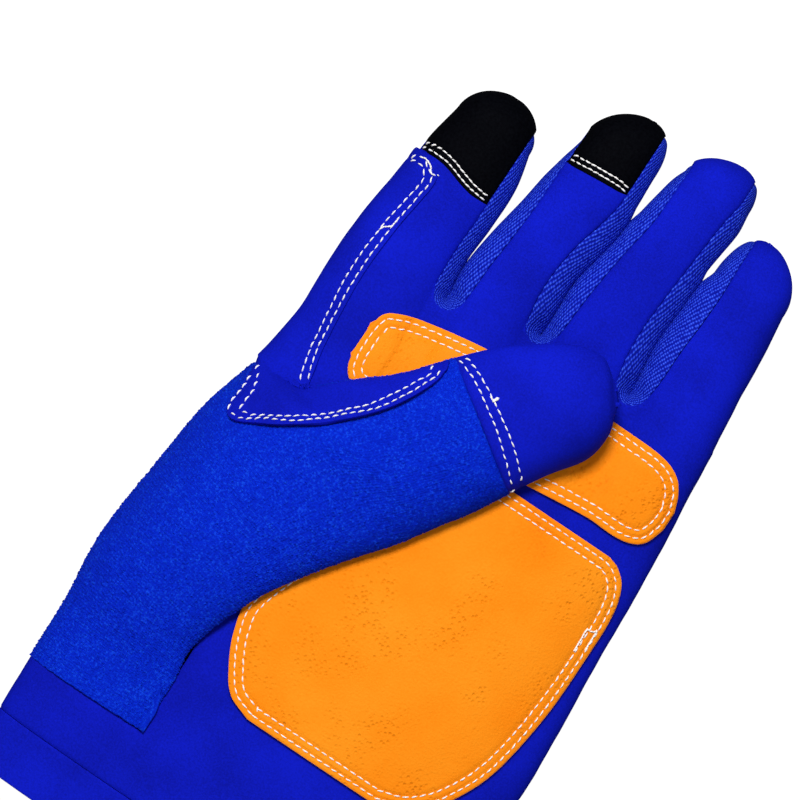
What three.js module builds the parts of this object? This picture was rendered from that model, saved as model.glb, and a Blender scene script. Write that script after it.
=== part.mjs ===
// A left-hand mechanic glove that lies on its back, palm up, with the thumb folded over the palm.
// Millimetres. +X runs to the little finger, +Y to the fingertips, +Z up out of the palm.
// The origin is the middle of the base, on the surface that the glove lies on.
// Every panel is a thin closed sheet: one outer face, one inner face and the walls of its cut edges.

import * as THREE from 'three';

// Driving dimensions
const SEAM = 0.4;            // gap kept along every seam
const HALF_SEAM = SEAM / 2;
const FOLD = 9.4;            // height of the side seams, where palm and back meet
const FINGER_RISE = 10.2;    // finger front above the side seams
const FINGER_DROP = 10.8;    // finger back below the side seams, before the surface flattens it
const PALM_DROP = 11;        // the same for the back of the hand
const SECTION = 2.4;         // exponent of the rounded finger section
const PALM_FLAT = 3;         // how flat the palm is between its sides
const PALM_SIDE = 0.45;      // how square the sides of the palm are
const ROOT_LENGTH = 40;      // length over which the finger roots fade into the palm
const BACK_SEAM = 0.72;      // where the finger strips meet the back, as a share of the half width
const TIP_SECTION = 0.985;   // last section of a fingertip, as a share of its round end
const CROTCH_DEPTH = { seam: 4.8, slit: 1.5 };
const STRIP_GAP = 0.35;      // how far a side strip keeps from the seam line
const STRIP_END = 0.15;      // section angle, in radians, at which a side strip ends near the fingertip
const WALL = { palm: 1.5, back: 1.4, strip: 1.3, terry: 2, thumb: 1.5, under: 1.5, patch: 1.2, cuff: 2 };
const CAP_PROUD = 0.35;      // how far a tip cap stands over the finger front
const TIP_PROUD = 0.5;       // how far the thumb's end panel stands over the terry
const HEM = { terry: -95.1, panels: -112.8, cuff: -128.55 };
const THUMB_HOLE_TOP = 9;
const PATCH_GAP = 0.6;       // gap under the patches
const TERRY_PILE = 0.65;     // more gap where a patch lies on the terry
const THUMB_CLEAR = 2.6;     // the folded thumb's height over the palm
const FOLD_RISE = 1;         // height from which an edge of the thumb counts as a fold

const BLUE = 0x0c1abb;
const TERRY_BLUE = 0x0828c6;
const RIB_BLUE = 0x0c1fb4;
const BLACK = 0x06070b;
const ORANGE = 0xfe9115;

// Tables
// A table becomes one smooth curve per named column, over the values of its first column.
function curves(columns, rows) {
  const at = rows.map((row) => row[0]);
  const order = at.map((_, k) => k).sort((a, b) => at[a] - at[b]);
  const xs = order.map((k) => at[k]);
  const result = {};
  columns.slice(1).forEach((name, c) => {
    const ys = order.map((k) => rows[k][c + 1]);
    result[name] = (x) => hermite(xs, ys, x);
  });
  return result;
}

function hermite(xs, ys, x) {
  const last = xs.length - 1;
  if (x <= xs[0]) return ys[0];
  if (x >= xs[last]) return ys[last];
  let k = 0;
  while (x > xs[k + 1]) k += 1;
  const slope = (i) => {
    const a = Math.max(0, i - 1);
    const b = Math.min(last, i + 1);
    return (ys[b] - ys[a]) / (xs[b] - xs[a]);
  };
  const h = xs[k + 1] - xs[k];
  const t = (x - xs[k]) / h;
  const t2 = t * t;
  const t3 = t2 * t;
  return (2 * t3 - 3 * t2 + 1) * ys[k] + (t3 - 2 * t2 + t) * h * slope(k)
    + (3 * t2 - 2 * t3) * ys[k + 1] + (t3 - t2) * h * slope(k + 1);
}

// The hand's outline from the finger roots to the wrist, seen from above
const hand = curves(['y', 'left', 'right', 'rise'], [
  [60, -58.4, 59.8, 12.3],
  [40, -58.1, 61.5, 12.8],
  [26, -57.7, 63.1, 13],
  [8, -60.2, 64.8, 13.2],
  [-10, -65.2, 66, 13.6],
  [-30, -67.3, 67.7, 14],
  [-48, -68.9, 69.1, 14],
  [-60, -69.1, 68.6, 13.8],
  [-78, -67.9, 65.5, 13.2],
  [-95, -66.6, 60.6, 12.4],
  [-112, -65.8, 55.4, 11.6],
  [-128.55, -65.6, 54, 11],
]);
const ROOT_LEFT = -58.3;
const ROOT_RIGHT = 59.8;

// One finger: its sides, the seams of its front panel, and its round end
function finger(name, columns, tip, rows) {
  return { name, ...curves(columns, rows), ...tip };
}
const INNER = ['y', 'left', 'right', 'seamLeft', 'seamRight'];
const FINGERS = [
  finger('index', INNER, { round: 98, tipX: -41, tipY: 109.2, rootLeft: 51, rootRight: 53.5 }, [
    [51, -58.3, -27, -70, -30.4],
    [62, -57.6, -27.7, -70, -31],
    [75, -56.2, -27.1, -70, -31],
    [88, -55.4, -27.5, -70, -31],
    [98, -53.1, -29.3, -70, -31],
  ]),
  finger('middle', INNER, { round: 112, tipX: -5.5, tipY: 126, rootLeft: 53.5, rootRight: 60 }, [
    [53.5, -24.7, -0.4, -21.5, -3.4],
    [60, -26.2, 0.2, -21.2, -3.7],
    [66, -26.4, 1, -21.1, -4.9],
    [75, -25.5, 0.7, -20.5, -5],
    [85, -24, 2.4, -20, -3.7],
    [92, -22.8, 3.6, -20, -1.8],
    [100, -21.2, 4.2, -20, -0.3],
    [112, -19.7, 3.5, -19.5, -0.3],
  ]),
  finger('ring', INNER, { round: 119, tipX: 21, tipY: 128.7, rootLeft: 60, rootRight: 60 }, [
    [60, 2.9, 30.3, 5.3, 26.2],
    [66, 2, 30.1, 5.8, 24.8],
    [75, 1.6, 29.2, 6.3, 24.2],
    [85, 3.3, 29.6, 7.3, 24.5],
    [92, 4.6, 29.8, 8.2, 24.9],
    [100, 5.2, 30.4, 9.5, 25.5],
    [112, 7.6, 31.7, 10, 26.5],
    [119, 9, 31, 10, 27.8],
  ]),
  finger('little', INNER, { round: 104, tipX: 41.8, tipY: 115.6, rootLeft: 60, rootRight: 58 }, [
    [58, 32.9, 59.8, 35.7, 80],
    [66, 31.1, 58.9, 36.3, 80],
    [75, 30.2, 57.8, 36.3, 80],
    [85, 30.6, 57.1, 36.8, 80],
    [95, 31.1, 55.9, 37, 80],
    [104, 32.8, 54.9, 36.5, 80],
  ]),
];

// The folded thumb, a row for each section from the wrist hem to the thumb's end. u is the end of the
// section at the glove's side, then at the upper fold; l is its end at the lower fold. The rises and
// the lift are heights over the palm, hole is where the thumb hole's edge crosses the section.
const THUMB_COLUMNS = ['s', 'ux', 'uy', 'uRise', 'uSoft', 'lx', 'ly', 'lRise', 'lift', 'hole', 'clear'];
const thumb = curves(THUMB_COLUMNS, [
  [0, -66.7, HEM.terry, 0, 1, -29.8, -94, 0, 0.8, 1, THUMB_CLEAR],
  [1, -67.8, -80, 0, 1, -30.2, -80, 0, 2.5, 1, THUMB_CLEAR],
  [2, -69.1, -60, 0, 1, -30.4, -67, 0.6, 6.5, 0.96, 0.5],
  [3, -68.4, -42, 0, 1, -24, -48.5, 4.5, 10.5, 0.785, 2],
  [4, -66.9, -24, 0, 1, -15.8, -34.5, 5.5, 12.5, 0.62, THUMB_CLEAR],
  [5, -64.6, -7, 0, 1, -7.8, -22.5, 6, 14, 0.484, THUMB_CLEAR],
  [6, -60.8, 6.4, 0, 1, -0.3, -12.5, 6.2, 15, 0.3, THUMB_CLEAR],
  [6.5, -53.8, 7.8, 0.3, 1, 2.9, -7.5, 6.4, 15.3, 0.14, THUMB_CLEAR],
  [7, -46.2, 8.2, 1.3, 0.95, 6, -2.5, 6.5, 15.5, 0, THUMB_CLEAR],
  [7.5, -40.6, 12.9, 3.4, 0.75, 8.8, 1.7, 6.6, 15.5, 0, THUMB_CLEAR],
  [8, -35.5, 17.8, 5.5, 0.6, 11.5, 5.8, 6.8, 15.5, 0, THUMB_CLEAR],
  [9, -24.5, 27.6, 6.5, 0.5, 15, 12, 7, 15.5, 0, THUMB_CLEAR],
  [10, -14.5, 39.6, 7, 0.5, 17.6, 17.2, 7, 15.5, 0, THUMB_CLEAR],
  [11, -4, 50.5, 7, 0.5, 24, 27, 7, 16, 0, THUMB_CLEAR],
  [12, 9.5, 60, 7.2, 0.5, 31.2, 36.3, 7.2, 15.5, 0, THUMB_CLEAR],
  [13, 18.5, 62.3, 7.4, 0.5, 32.4, 45, 7.4, 13, 0, 3.5],
  [14, 24.6, 58.8, 7.6, 0.5, 30.4, 51.4, 7.6, 9.1, 0, 5.7],
]);
const THUMB_CROTCH = 7;
const THUMB_SEAM = 10;
const THUMB_END = 14;

// The edge of the thumb hole in the palm panel
const thumbHole = curves(['y', 'x'], [
  [THUMB_HOLE_TOP, -45.8],
  [1, -41],
  [-14.5, -36.8],
  [-30.5, -34.9],
  [-47, -33.2],
  [-60, -31.2],
  [-68, -29.8],
  [-80, -29.6],
  [-95.5, -29.2],
]);

// Patches, as their two edges seen from above
const knuckleEdges = curves(['x', 'low', 'high'], [
  [-40, 25, 33.5],
  [-39, 20.6, 38],
  [-36, 17.3, 40.7],
  [-28, 16.4, 43.5],
  [-8, 17.5, 47],
  [20, 20.2, 49.6],
  [40, 22.4, 49.7],
  [50, 22.6, 48.6],
  [55.5, 24, 46],
  [58.5, 27, 42],
  [60.2, 32, 37.5],
]);
const heelEdges = curves(['y', 'left', 'right'], [
  [18, 24, 52],
  [17, 19, 55],
  [13, 12, 59],
  [5, 4, 61.8],
  [-10, -7, 62.6],
  [-30, -19, 62],
  [-48, -25.4, 59.5],
  [-58, -23.8, 56],
  [-68, -19, 50],
  [-74, -14, 43],
  [-76.5, -7, 36],
]);
// The saddle patch runs from the side of the index finger to the thumb: its inner edge on the finger
const saddleInner = curves(['y', 'x'], [
  [81, -52],
  [79, -49],
  [75, -47.8],
  [60, -49.1],
  [45, -49.2],
  [30, -48.2],
  [20, -47.2],
  [9.4, -46.6],
]);
// and on the thumb, with the section of the upper fold that faces each point of its lower edge
const saddleLower = curves(['step', 'x', 'y', 'fold'], [
  [0, -60.6, 6.9, 6.96],
  [1, -60.8, -1, 7.02],
  [2, -59.9, -7.6, 7.1],
  [3, -56.5, -9.9, 7.2],
  [4, -50, -7.2, 7.35],
  [5, -43, -3.4, 7.6],
  [6, -35, 3.3, 8],
  [7, -27, 11, 8.5],
  [8, -20.3, 20, 9],
  [9, -16.4, 29.5, 9.5],
  [10, -15.2, 36, 9.85],
]);

// Height helpers
const mix = THREE.MathUtils.lerp;
const smooth = (t) => THREE.MathUtils.smoothstep(t, 0, 1);
const spread = (n) => Array.from({ length: n + 1 }, (_, k) => k / n);
const roundHeight = (q) => (1 - Math.min(1, Math.abs(q)) ** SECTION) ** (1 / SECTION);

// Finger sections: half width, middle and the scale of the round end
function section(f, y, inset) {
  const low = Math.min(y, f.round);
  const half = (f.right(low) - f.left(low)) / 2;
  const middle = (f.right(low) + f.left(low)) / 2;
  if (y <= f.round) return { half: half - inset, middle, end: 1 };
  const share = Math.min(TIP_SECTION, (y - f.round) / (f.tipY - f.round));
  const end = Math.sqrt(1 - share * share);
  return { half: Math.max(3, half * end) - inset, middle: mix(middle, f.tipX, share * share), end };
}

// The angle at which a seam crosses the section: 90 degrees is the front, 0 and 180 are the sides
function seamAngle(f, y, side) {
  const s = section(f, y, 0);
  const seam = side < 0 ? f.seamLeft(y) : f.seamRight(y);
  const q = THREE.MathUtils.clamp((seam - s.middle) / s.half * side, 0.05, 1);
  return Math.acos(q ** (SECTION / 2));
}
const backAngle = (f, y, side) => Math.min(Math.acos(BACK_SEAM ** (SECTION / 2)),
  seamAngle(f, y, side));
const isOuter = (f, side) => (f.name === 'index' && side < 0) || (f.name === 'little' && side > 0);

// A point of the finger's surface at an angle, from 0 at the right side to PI at the left side, and
// negative at the back. inset moves it into the finger.
function fingerPoint(f, y, angle, inset) {
  const reach = y > f.round ? Math.min(y, f.tipY - inset) : y;
  const s = section(f, y, inset);
  const c = Math.cos(angle);
  const height = Math.abs(Math.sin(angle)) ** (2 / SECTION);
  const x = s.middle + s.half * Math.sign(c) * Math.abs(c) ** (2 / SECTION);
  const rise = Math.max(FINGER_RISE * s.end, 2.4) - inset;
  const drop = Math.max(FINGER_DROP * s.end, 2.4) - inset;
  const z = angle >= 0 ? FOLD + rise * height : Math.max(inset, FOLD - drop * height);
  return new THREE.Vector3(x, reach, z);
}

// The line across the finger roots
function rootLine(x) {
  const [a, b, c, d] = FINGERS;
  if (x < a.seamRight(a.rootRight)) {
    return mix(a.rootLeft, a.rootRight, (x - ROOT_LEFT) / (a.seamRight(a.rootRight) - ROOT_LEFT));
  }
  if (x < b.seamLeft(b.rootLeft)) return b.rootLeft;
  if (x < b.seamRight(b.rootRight)) {
    const from = b.seamLeft(b.rootLeft);
    return mix(b.rootLeft, b.rootRight, (x - from) / (b.seamRight(b.rootRight) - from));
  }
  if (x < d.seamLeft(d.rootLeft)) return c.rootLeft;
  const from = d.seamLeft(d.rootLeft);
  return mix(d.rootLeft, d.rootRight, (x - from) / (ROOT_RIGHT - from));
}

// The three crotches between the fingers
const CROTCHES = [0, 1, 2].map((k) => {
  const a = FINGERS[k];
  const b = FINGERS[k + 1];
  return { a, b, y: a.rootRight, left: a.seamRight(a.rootRight), right: b.seamLeft(b.rootLeft) };
});

// Heights of the finger roots, at a place across the root line
function rootHeight(x, inset) {
  const crotch = CROTCHES.find((c) => x > c.left && x < c.right);
  const at = (f, px) => {
    const s = section(f, rootLine(px), 0);
    return FOLD + (FINGER_RISE - inset) * roundHeight((px - s.middle) / s.half);
  };
  if (crotch) {
    const t = (x - crotch.left) / (crotch.right - crotch.left);
    return mix(at(crotch.a, crotch.left), at(crotch.b, crotch.right), t);
  }
  const f = FINGERS[CROTCHES.filter((c) => x >= c.right).length];
  return at(f, x);
}

// How far the U of a crotch dips below the root line
function crotchDip(x) {
  const crotch = CROTCHES.find((c) => x > c.left && x < c.right);
  if (!crotch) return 0;
  const q = (2 * x - crotch.left - crotch.right) / (crotch.right - crotch.left);
  return (CROTCH_DEPTH.seam + SEAM) * Math.sqrt(1 - q * q);
}

// The palm between the finger roots and the wrist. q runs from -1 at the left side to 1 at the right.
const palmCore = (q, y, inset) => FOLD
  + (hand.rise(y) - inset) * (1 - Math.abs(q) ** PALM_FLAT) ** PALM_SIDE;

function palmHeight(q, y, inset) {
  const x = mix(ROOT_LEFT, ROOT_RIGHT, (q + 1) / 2);
  const away = (rootLine(x) - crotchDip(x) - y) / ROOT_LENGTH;
  return mix(rootHeight(x, inset), palmCore(q, y, inset), smooth(away));
}

function palmPoint(q, y, inset) {
  const half = (hand.right(y) - hand.left(y)) / 2;
  const middle = (hand.right(y) + hand.left(y)) / 2;
  return new THREE.Vector3(middle + (half - inset) * q, y, palmHeight(q, y, inset));
}

// The height that the thumb lies over, which passes smoothly over the finger roots
function palmSpot(x, y, inset) {
  const half = (hand.right(y) - hand.left(y)) / 2 - inset;
  const middle = (hand.right(y) + hand.left(y)) / 2;
  return palmCore(THREE.MathUtils.clamp((x - middle) / half, -1, 1), y, inset);
}

function backPoint(q, y, inset) {
  const p = palmPoint(q, y, inset);
  const drop = PALM_DROP * (1 - Math.abs(q) ** PALM_FLAT) ** PALM_SIDE;
  p.z = Math.max(inset, FOLD - drop * (PALM_DROP - inset) / PALM_DROP);
  return p;
}

// A sheet over a grid of cells
function sheet(name, color, roughness, cols, rows, outer, inner, keep = () => true, ring = false) {
  const spots = [];
  const numbers = new Map();
  const vertex = (face, i, j) => {
    const at = ring ? i % cols : i;
    const key = `${face},${at},${j}`;
    if (!numbers.has(key)) {
      numbers.set(key, spots.length / 3);
      const p = face === 0 ? outer(at, j) : inner(at, j);
      spots.push(p.x, p.y, p.z);
    }
    return numbers.get(key);
  };
  const has = (i, j) => (ring || (i >= 0 && i < cols)) && j >= 0 && j < rows && keep(i, j);
  const index = [];
  const quad = (a, b, c, d) => index.push(a, b, c, a, c, d);
  for (let i = 0; i < cols; i += 1) {
    for (let j = 0; j < rows; j += 1) {
      if (!has(i, j)) continue;
      const o = [[i, j], [i + 1, j], [i + 1, j + 1], [i, j + 1]];
      quad(...o.map(([a, b]) => vertex(0, a, b)));
      quad(...o.map(([a, b]) => vertex(1, a, b)).reverse());
      const neighbours = [[i, j - 1], [i + 1, j], [i, j + 1], [i - 1, j]];
      neighbours.forEach(([ni, nj], k) => {
        if (has(ni, nj)) return;
        const p = o[k];
        const r = o[(k + 1) % 4];
        quad(vertex(0, ...r), vertex(0, ...p), vertex(1, ...p), vertex(1, ...r));
      });
    }
  }
  return solid(name, color, roughness, spots, index);
}

function solid(name, color, roughness, spots, index) {
  let volume = 0;
  const corner = (k) => new THREE.Vector3().fromArray(spots, 3 * index[k]);
  for (let k = 0; k < index.length; k += 3) {
    volume += corner(k).dot(corner(k + 1).cross(corner(k + 2)));
  }
  if (volume < 0) index.reverse();
  const geometry = new THREE.BufferGeometry();
  geometry.setAttribute('position', new THREE.Float32BufferAttribute(spots, 3));
  geometry.setIndex(index);
  geometry.computeVertexNormals();
  const material = new THREE.MeshStandardMaterial({ color, roughness, metalness: 0 });
  const mesh = new THREE.Mesh(geometry, material);
  mesh.name = name;
  return mesh;
}

// Palm and back panels
// Columns across the hand: cells of the four finger strips with the cells of a crotch between them
function handColumns(fingerCells, crotchCells) {
  const columns = [];
  FINGERS.forEach((f, k) => {
    const cells = fingerCells[k];
    spread(cells).forEach((a) => columns.push({ finger: k, across: a }));
    if (k < 3) {
      spread(crotchCells).slice(1, -1).forEach((a) => columns.push({ crotch: k, across: a }));
    }
  });
  return columns;
}

// front is true for the palm panel and false for the back panel
function rootPoint(column, front, inset) {
  if (column.finger !== undefined) {
    const f = FINGERS[column.finger];
    return stripPoint(f, column.across, mix(f.rootLeft, f.rootRight, column.across), front, inset);
  }
  const { a, b } = CROTCHES[column.crotch];
  const p = stripPoint(a, 1, a.rootRight, front, inset);
  const q = stripPoint(b, 0, b.rootLeft, front, inset);
  const turn = Math.PI * column.across;
  const middle = (p.x + q.x) / 2;
  const half = (q.x - p.x) / 2;
  const depth = CROTCH_DEPTH.seam + SEAM + inset * BACK_SEAM;
  return new THREE.Vector3(middle - half * Math.cos(turn), p.y - depth * Math.sin(turn),
    mix(p.z, q.z, column.across));
}

// A point of the front or back strip of a finger, from its left seam to its right seam
function stripPoint(f, across, y, front, inset) {
  const gap = (side) => (isOuter(f, side) ? 0 : HALF_SEAM / section(f, y, 0).half);
  const angle = (side) => (front ? seamAngle(f, y, side) : backAngle(f, y, side)) + gap(side) * 1.5;
  const from = Math.PI - angle(-1);
  const to = angle(1);
  const turn = mix(from, to, across);
  const p = fingerPoint(f, y, front ? turn : -turn, inset);
  p.z += front ? HALF_SEAM : 0;
  p.z -= !front && p.z > inset + SEAM ? HALF_SEAM : 0;
  return p;
}

// Finger rows from the root line to the end, closer together at the round end
function fingerRows(f, across, count, to) {
  const root = mix(f.rootLeft, f.rootRight, across);
  const straight = Math.round(count * 0.55);
  return spread(count).map((t, k) => {
    if (to !== undefined) return mix(root, to, t);
    if (k <= straight) return mix(root, f.round, k / straight);
    const turn = (k - straight) / (count - straight);
    return mix(f.round, f.tipY, TIP_SECTION * Math.sin(turn * Math.PI / 2));
  });
}

const FINGER_ROWS = 9;
const PALM = {
  name: 'palm_panel',
  wall: WALL.palm,
  front: true,
  fingerCells: [7, 5, 5, 7],
  crotchCells: 4,
  low: [HEM.panels, -104, -95.5, -84, -72, -60, -47, -33, -18, -5, THUMB_HOLE_TOP],
  root: [0.3, 0.55, 0.75, 0.9, 1],
  fingerRows: FINGER_ROWS,
  hole: { column: 4, from: 2 },
};
const BACK = {
  name: 'back_panel',
  wall: WALL.back,
  front: false,
  fingerCells: [5, 4, 4, 5],
  crotchCells: 4,
  low: [HEM.panels, -95, -75, -48, -20, THUMB_HOLE_TOP],
  root: [0.45, 0.8, 1],
  fingerRows: FINGER_ROWS,
};

function handPanel(plan) {
  const { front, wall, hole } = plan;
  const columns = handColumns(plan.fingerCells, plan.crotchCells);
  const lowRows = plan.low.length - 1;
  const rootRow = lowRows + plan.root.length;
  const rows = rootRow + plan.fingerRows;
  const place = (column, j, inset) => {
    const root = rootPoint(column, front, 0);
    if (j >= rootRow) {
      if (column.finger === undefined) return rootPoint(column, front, inset);
      const f = FINGERS[column.finger];
      const cap = front ? capEdge(f, column.across) : undefined;
      const y = fingerRows(f, column.across, plan.fingerRows, cap)[j - rootRow];
      return stripPoint(f, column.across, y, front, inset);
    }
    const top = plan.low[lowRows];
    const y = j <= lowRows ? plan.low[j] : mix(top, root.y, plan.root[j - lowRows - 1]);
    let share = (root.x - ROOT_LEFT) / (ROOT_RIGHT - ROOT_LEFT);
    if (hole) share = holeShare(columns[hole.column], share, y);
    const q = 2 * share - 1;
    const p = front ? palmPoint(q, y, inset) : backPoint(q, y, inset);
    if (front) p.z += HALF_SEAM * (1 - smooth((y - top) / 20));
    if (!front && p.z > inset + SEAM) p.z -= HALF_SEAM;
    return p;
  };
  const keep = (i, j) => {
    const inCrotch = columns[i].crotch !== undefined || columns[i + 1].crotch !== undefined;
    if (inCrotch && j >= rootRow) return false;
    return !(hole && i < hole.column && j >= hole.from && j < lowRows);
  };
  return sheet(plan.name, BLUE, 0.75, columns.length - 1, rows,
    (i, j) => place(columns[i], j, 0), (i, j) => place(columns[i], j, wall), keep);
}

// The columns of the palm panel give way to the thumb hole
function holeShare(edgeColumn, share, y) {
  const edge = rootPoint(edgeColumn, true, 0).x;
  const still = (edge - ROOT_LEFT) / (ROOT_RIGHT - ROOT_LEFT);
  const low = Math.min(y, THUMB_HOLE_TOP);
  const width = hand.right(low) - hand.left(low);
  const hole = (thumbHole.x(low) - hand.left(low)) / width;
  const moved = mix(hole, still, smooth((y - THUMB_HOLE_TOP) / 35));
  if (share < still) return share * moved / still;
  return moved + (share - still) * (1 - moved) / (1 - still);
}

// Tip caps
const CAPS = { index: { left: 82.3, right: 79.9 }, middle: { left: 102, right: 103.5 } };
function capEdge(f, across) {
  const cap = CAPS[f.name];
  return cap ? mix(cap.left, cap.right, across) : undefined;
}

function tipCap(f) {
  const cols = 8;
  const rows = 7;
  const place = (i, j, inset) => {
    const across = i / cols;
    const low = capEdge(f, across) + SEAM;
    const t = j / rows;
    const start = (f.round - low) / (f.tipY - low);
    const y = t < start ? mix(low, f.tipY, t)
      : mix(f.round, f.tipY, TIP_SECTION * Math.sin((t - start) / (1 - start) * Math.PI / 2));
    return stripPoint(f, across, y, true, inset);
  };
  return sheet(`${f.name}_tip_cap`, BLACK, 0.6, cols, rows,
    (i, j) => place(i, j, -CAP_PROUD), (i, j) => place(i, j, WALL.palm));
}

// Fourchettes: a strip from one fingertip down to the crotch, round it and up to the next tip
function fourchette(crotch) {
  const { a, b } = crotch;
  const turnCells = 6;
  const bands = 6;
  const legRows = (f, side) => fingerRows(f, side < 0 ? 0 : 1, FINGER_ROWS)
    .filter((y) => y <= f.round || seamAngle(f, y, side) > STRIP_END);
  const legs = [legRows(a, 1).reverse(), legRows(b, -1)];
  const turnFrom = legs[0].length - 1;
  const turnTo = turnFrom + turnCells;
  const cols = turnTo + legs[1].length - 1;
  const legPoint = (f, side, y, band, inset) => {
    const gap = STRIP_GAP / section(f, y, 0).half;
    const top = Math.max(seamAngle(f, y, side) - gap, STRIP_END / 2);
    const low = Math.max(backAngle(f, y, side) - gap, STRIP_END / 2);
    const angle = mix(top, -low, band);
    const mirrored = (angle < 0 ? -1 : 1) * (Math.PI - Math.abs(angle));
    return fingerPoint(f, y, side > 0 ? angle : mirrored, inset);
  };
  const place = (i, j, inset) => {
    const band = j / bands;
    if (i <= turnFrom) return legPoint(a, 1, legs[0][i], band, inset);
    if (i >= turnTo) return legPoint(b, -1, legs[1][i - turnTo], band, inset);
    const p = legPoint(a, 1, a.rootRight, band, inset);
    const q = legPoint(b, -1, b.rootLeft, band, inset);
    const t = (i - turnFrom) / turnCells;
    const turn = Math.PI * t;
    const edge = Math.abs(2 * band - 1) ** 1.5;
    const depth = mix(CROTCH_DEPTH.slit, CROTCH_DEPTH.seam, edge) + inset * mix(1, BACK_SEAM, edge);
    return new THREE.Vector3((p.x + q.x) / 2 - (q.x - p.x) / 2 * Math.cos(turn),
      p.y - depth * Math.sin(turn), mix(p.z, q.z, t));
  };
  return sheet(`fourchette_${a.name}_${b.name}`, RIB_BLUE, 0.85, cols, bands,
    (i, j) => place(i, j, 0), (i, j) => place(i, j, WALL.strip));
}

// The thumb
const foldShare = (rise) => Math.min(1, rise / FOLD_RISE);
const crown = (v, soft) => (1 - Math.abs(2 * v - 1) ** SECTION) ** mix(soft, 0.5, smooth(v));

function thumbSection(s, inset) {
  const u = new THREE.Vector2(thumb.ux(s), thumb.uy(s));
  const l = new THREE.Vector2(thumb.lx(s), thumb.ly(s));
  const along = l.clone().sub(u).normalize();
  const folds = [foldShare(thumb.uRise(s)), foldShare(thumb.lRise(s))];
  u.addScaledVector(along, inset * folds[0]);
  l.addScaledVector(along, -inset * folds[1]);
  return { u, l, folds };
}

// A point of the thumb's upper face, v from the upper to the lower end of its section
function thumbPoint(s, v, inset) {
  const { u, l, folds } = thumbSection(s, inset);
  const y = mix(u.y, l.y, v);
  const x = Math.max(mix(u.x, l.x, v), hand.left(y) + inset);
  const height = crown(v, thumb.uSoft(s));
  const ramp = mix(thumb.uRise(s), thumb.lRise(s), v);
  const kept = inset * mix(folds[0], folds[1], v) * (1 - height);
  const base = s < THUMB_CROTCH ? palmSpot(x, y, inset) : palmSpot(x, y, 0) - inset;
  return new THREE.Vector3(x, y, base + kept + ramp + (thumb.lift(s) - ramp) * height + HALF_SEAM);
}

// A point of the face that lies on the palm, v from the thumb hole or the upper fold to the lower fold
function undersidePoint(s, v, inset) {
  const { u, l } = thumbSection(s, inset);
  const hole = thumb.hole(s);
  const across = mix(Math.max(0, hole), 1, v);
  const y = mix(u.y, l.y, across);
  const x = mix(u.x, l.x, across);
  const height = crown(v, 0.5);
  const open = 1 - smooth((s - 6.4) / 0.6);
  const from = Math.max(SEAM, (thumb.uRise(s) - HALF_SEAM) * (1 - smooth(7 - s)));
  const to = Math.max(SEAM, thumb.lRise(s) - HALF_SEAM);
  const wall = inset * mix(mix(open, 0, v), 1, height);
  return new THREE.Vector3(x, y,
    palmSpot(x, y, 0) + mix(mix(from, to, v), thumb.clear(s), height) + wall);
}

function thumbPanel(name, color, roughness, stations, cols, place, insets) {
  const across = spread(cols).map((t) => (1 - Math.cos(Math.PI * t)) / 2);
  return sheet(name, color, roughness, cols, stations.length - 1,
    (i, j) => place(stations[j], across[i], insets[0]),
    (i, j) => place(stations[j], across[i], insets[1]));
}

const TERRY_STATIONS = [0, 0.6, 1.3, 2, 2.5, 3, 3.6, 4.3, 5, 5.6, 6, 6.3, 6.6, 7, 7.5, 8, 9, THUMB_SEAM - 0.035];
const TIP_STATIONS = [THUMB_SEAM, 10.6, 11.2, 11.8, 12.4, 12.9, 13.3, 13.6, 13.85, THUMB_END];
const UNDER_STATIONS = [...TERRY_STATIONS.slice(4, -1), ...TIP_STATIONS];

// Patches
function spotOnGlove(x, y, inset) {
  const f = FINGERS[0];
  if (y > rootLine(x)) {
    const s = section(f, y, 0);
    const q = THREE.MathUtils.clamp((x - s.middle) / (s.half - inset), -1, 1);
    const z = FOLD + (FINGER_RISE - inset) * roundHeight(q);
    return new THREE.Vector3(s.middle + (s.half - inset) * q, y, z + HALF_SEAM);
  }
  const half = (hand.right(y) - hand.left(y)) / 2;
  const middle = (hand.right(y) + hand.left(y)) / 2;
  const p = palmPoint(THREE.MathUtils.clamp((x - middle) / (half - inset), -1, 1), y, inset);
  p.z += HALF_SEAM;
  return p;
}

// The section and the place across it of a point of the thumb seen from above
function findOnThumb(x, y) {
  const target = new THREE.Vector2(x, y);
  const seen = (s, v) => new THREE.Vector2(mix(thumb.ux(s), thumb.lx(s), v),
    mix(thumb.uy(s), thumb.ly(s), v));
  let best = { s: 0, v: 0, miss: Infinity };
  for (let s = 4; s <= 12; s += 0.25) {
    for (let v = 0; v <= 1; v += 0.1) {
      const miss = seen(s, v).distanceTo(target);
      if (miss < best.miss) best = { s, v, miss };
    }
  }
  let { s, v } = best;
  const step = 1e-3;
  for (let turn = 0; turn < 8; turn += 1) {
    const p = seen(s, v);
    const ds = seen(s + step, v).sub(p).divideScalar(step);
    const dv = seen(s, v + step).sub(p).divideScalar(step);
    const miss = target.clone().sub(p);
    const det = ds.cross(dv);
    s += miss.cross(dv) / det;
    v += ds.cross(miss) / det;
    v = THREE.MathUtils.clamp(v, 0, 1);
  }
  return { s, v };
}

const PATCH_INSETS = [-(PATCH_GAP + WALL.patch), -PATCH_GAP];

function patch(name, color, cols, rows, place, keep) {
  return sheet(name, color, 0.8, cols, rows, (i, j) => place(i, j, PATCH_INSETS[0]),
    (i, j) => place(i, j, PATCH_INSETS[1]), keep);
}

const KNUCKLE_COLUMNS = [-40, -39, -36, -30, -24, -18, -11, -4, 1, 6, 11, 16, 21, 26, 31, 36, 42, 48, 53, 56, 58.7, 60.2];
const HEEL_ROWS = [-76.5, -74, -68, -58, -48, -38, -28, -18, -8, 2, 8, 13, 17, 18];

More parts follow.
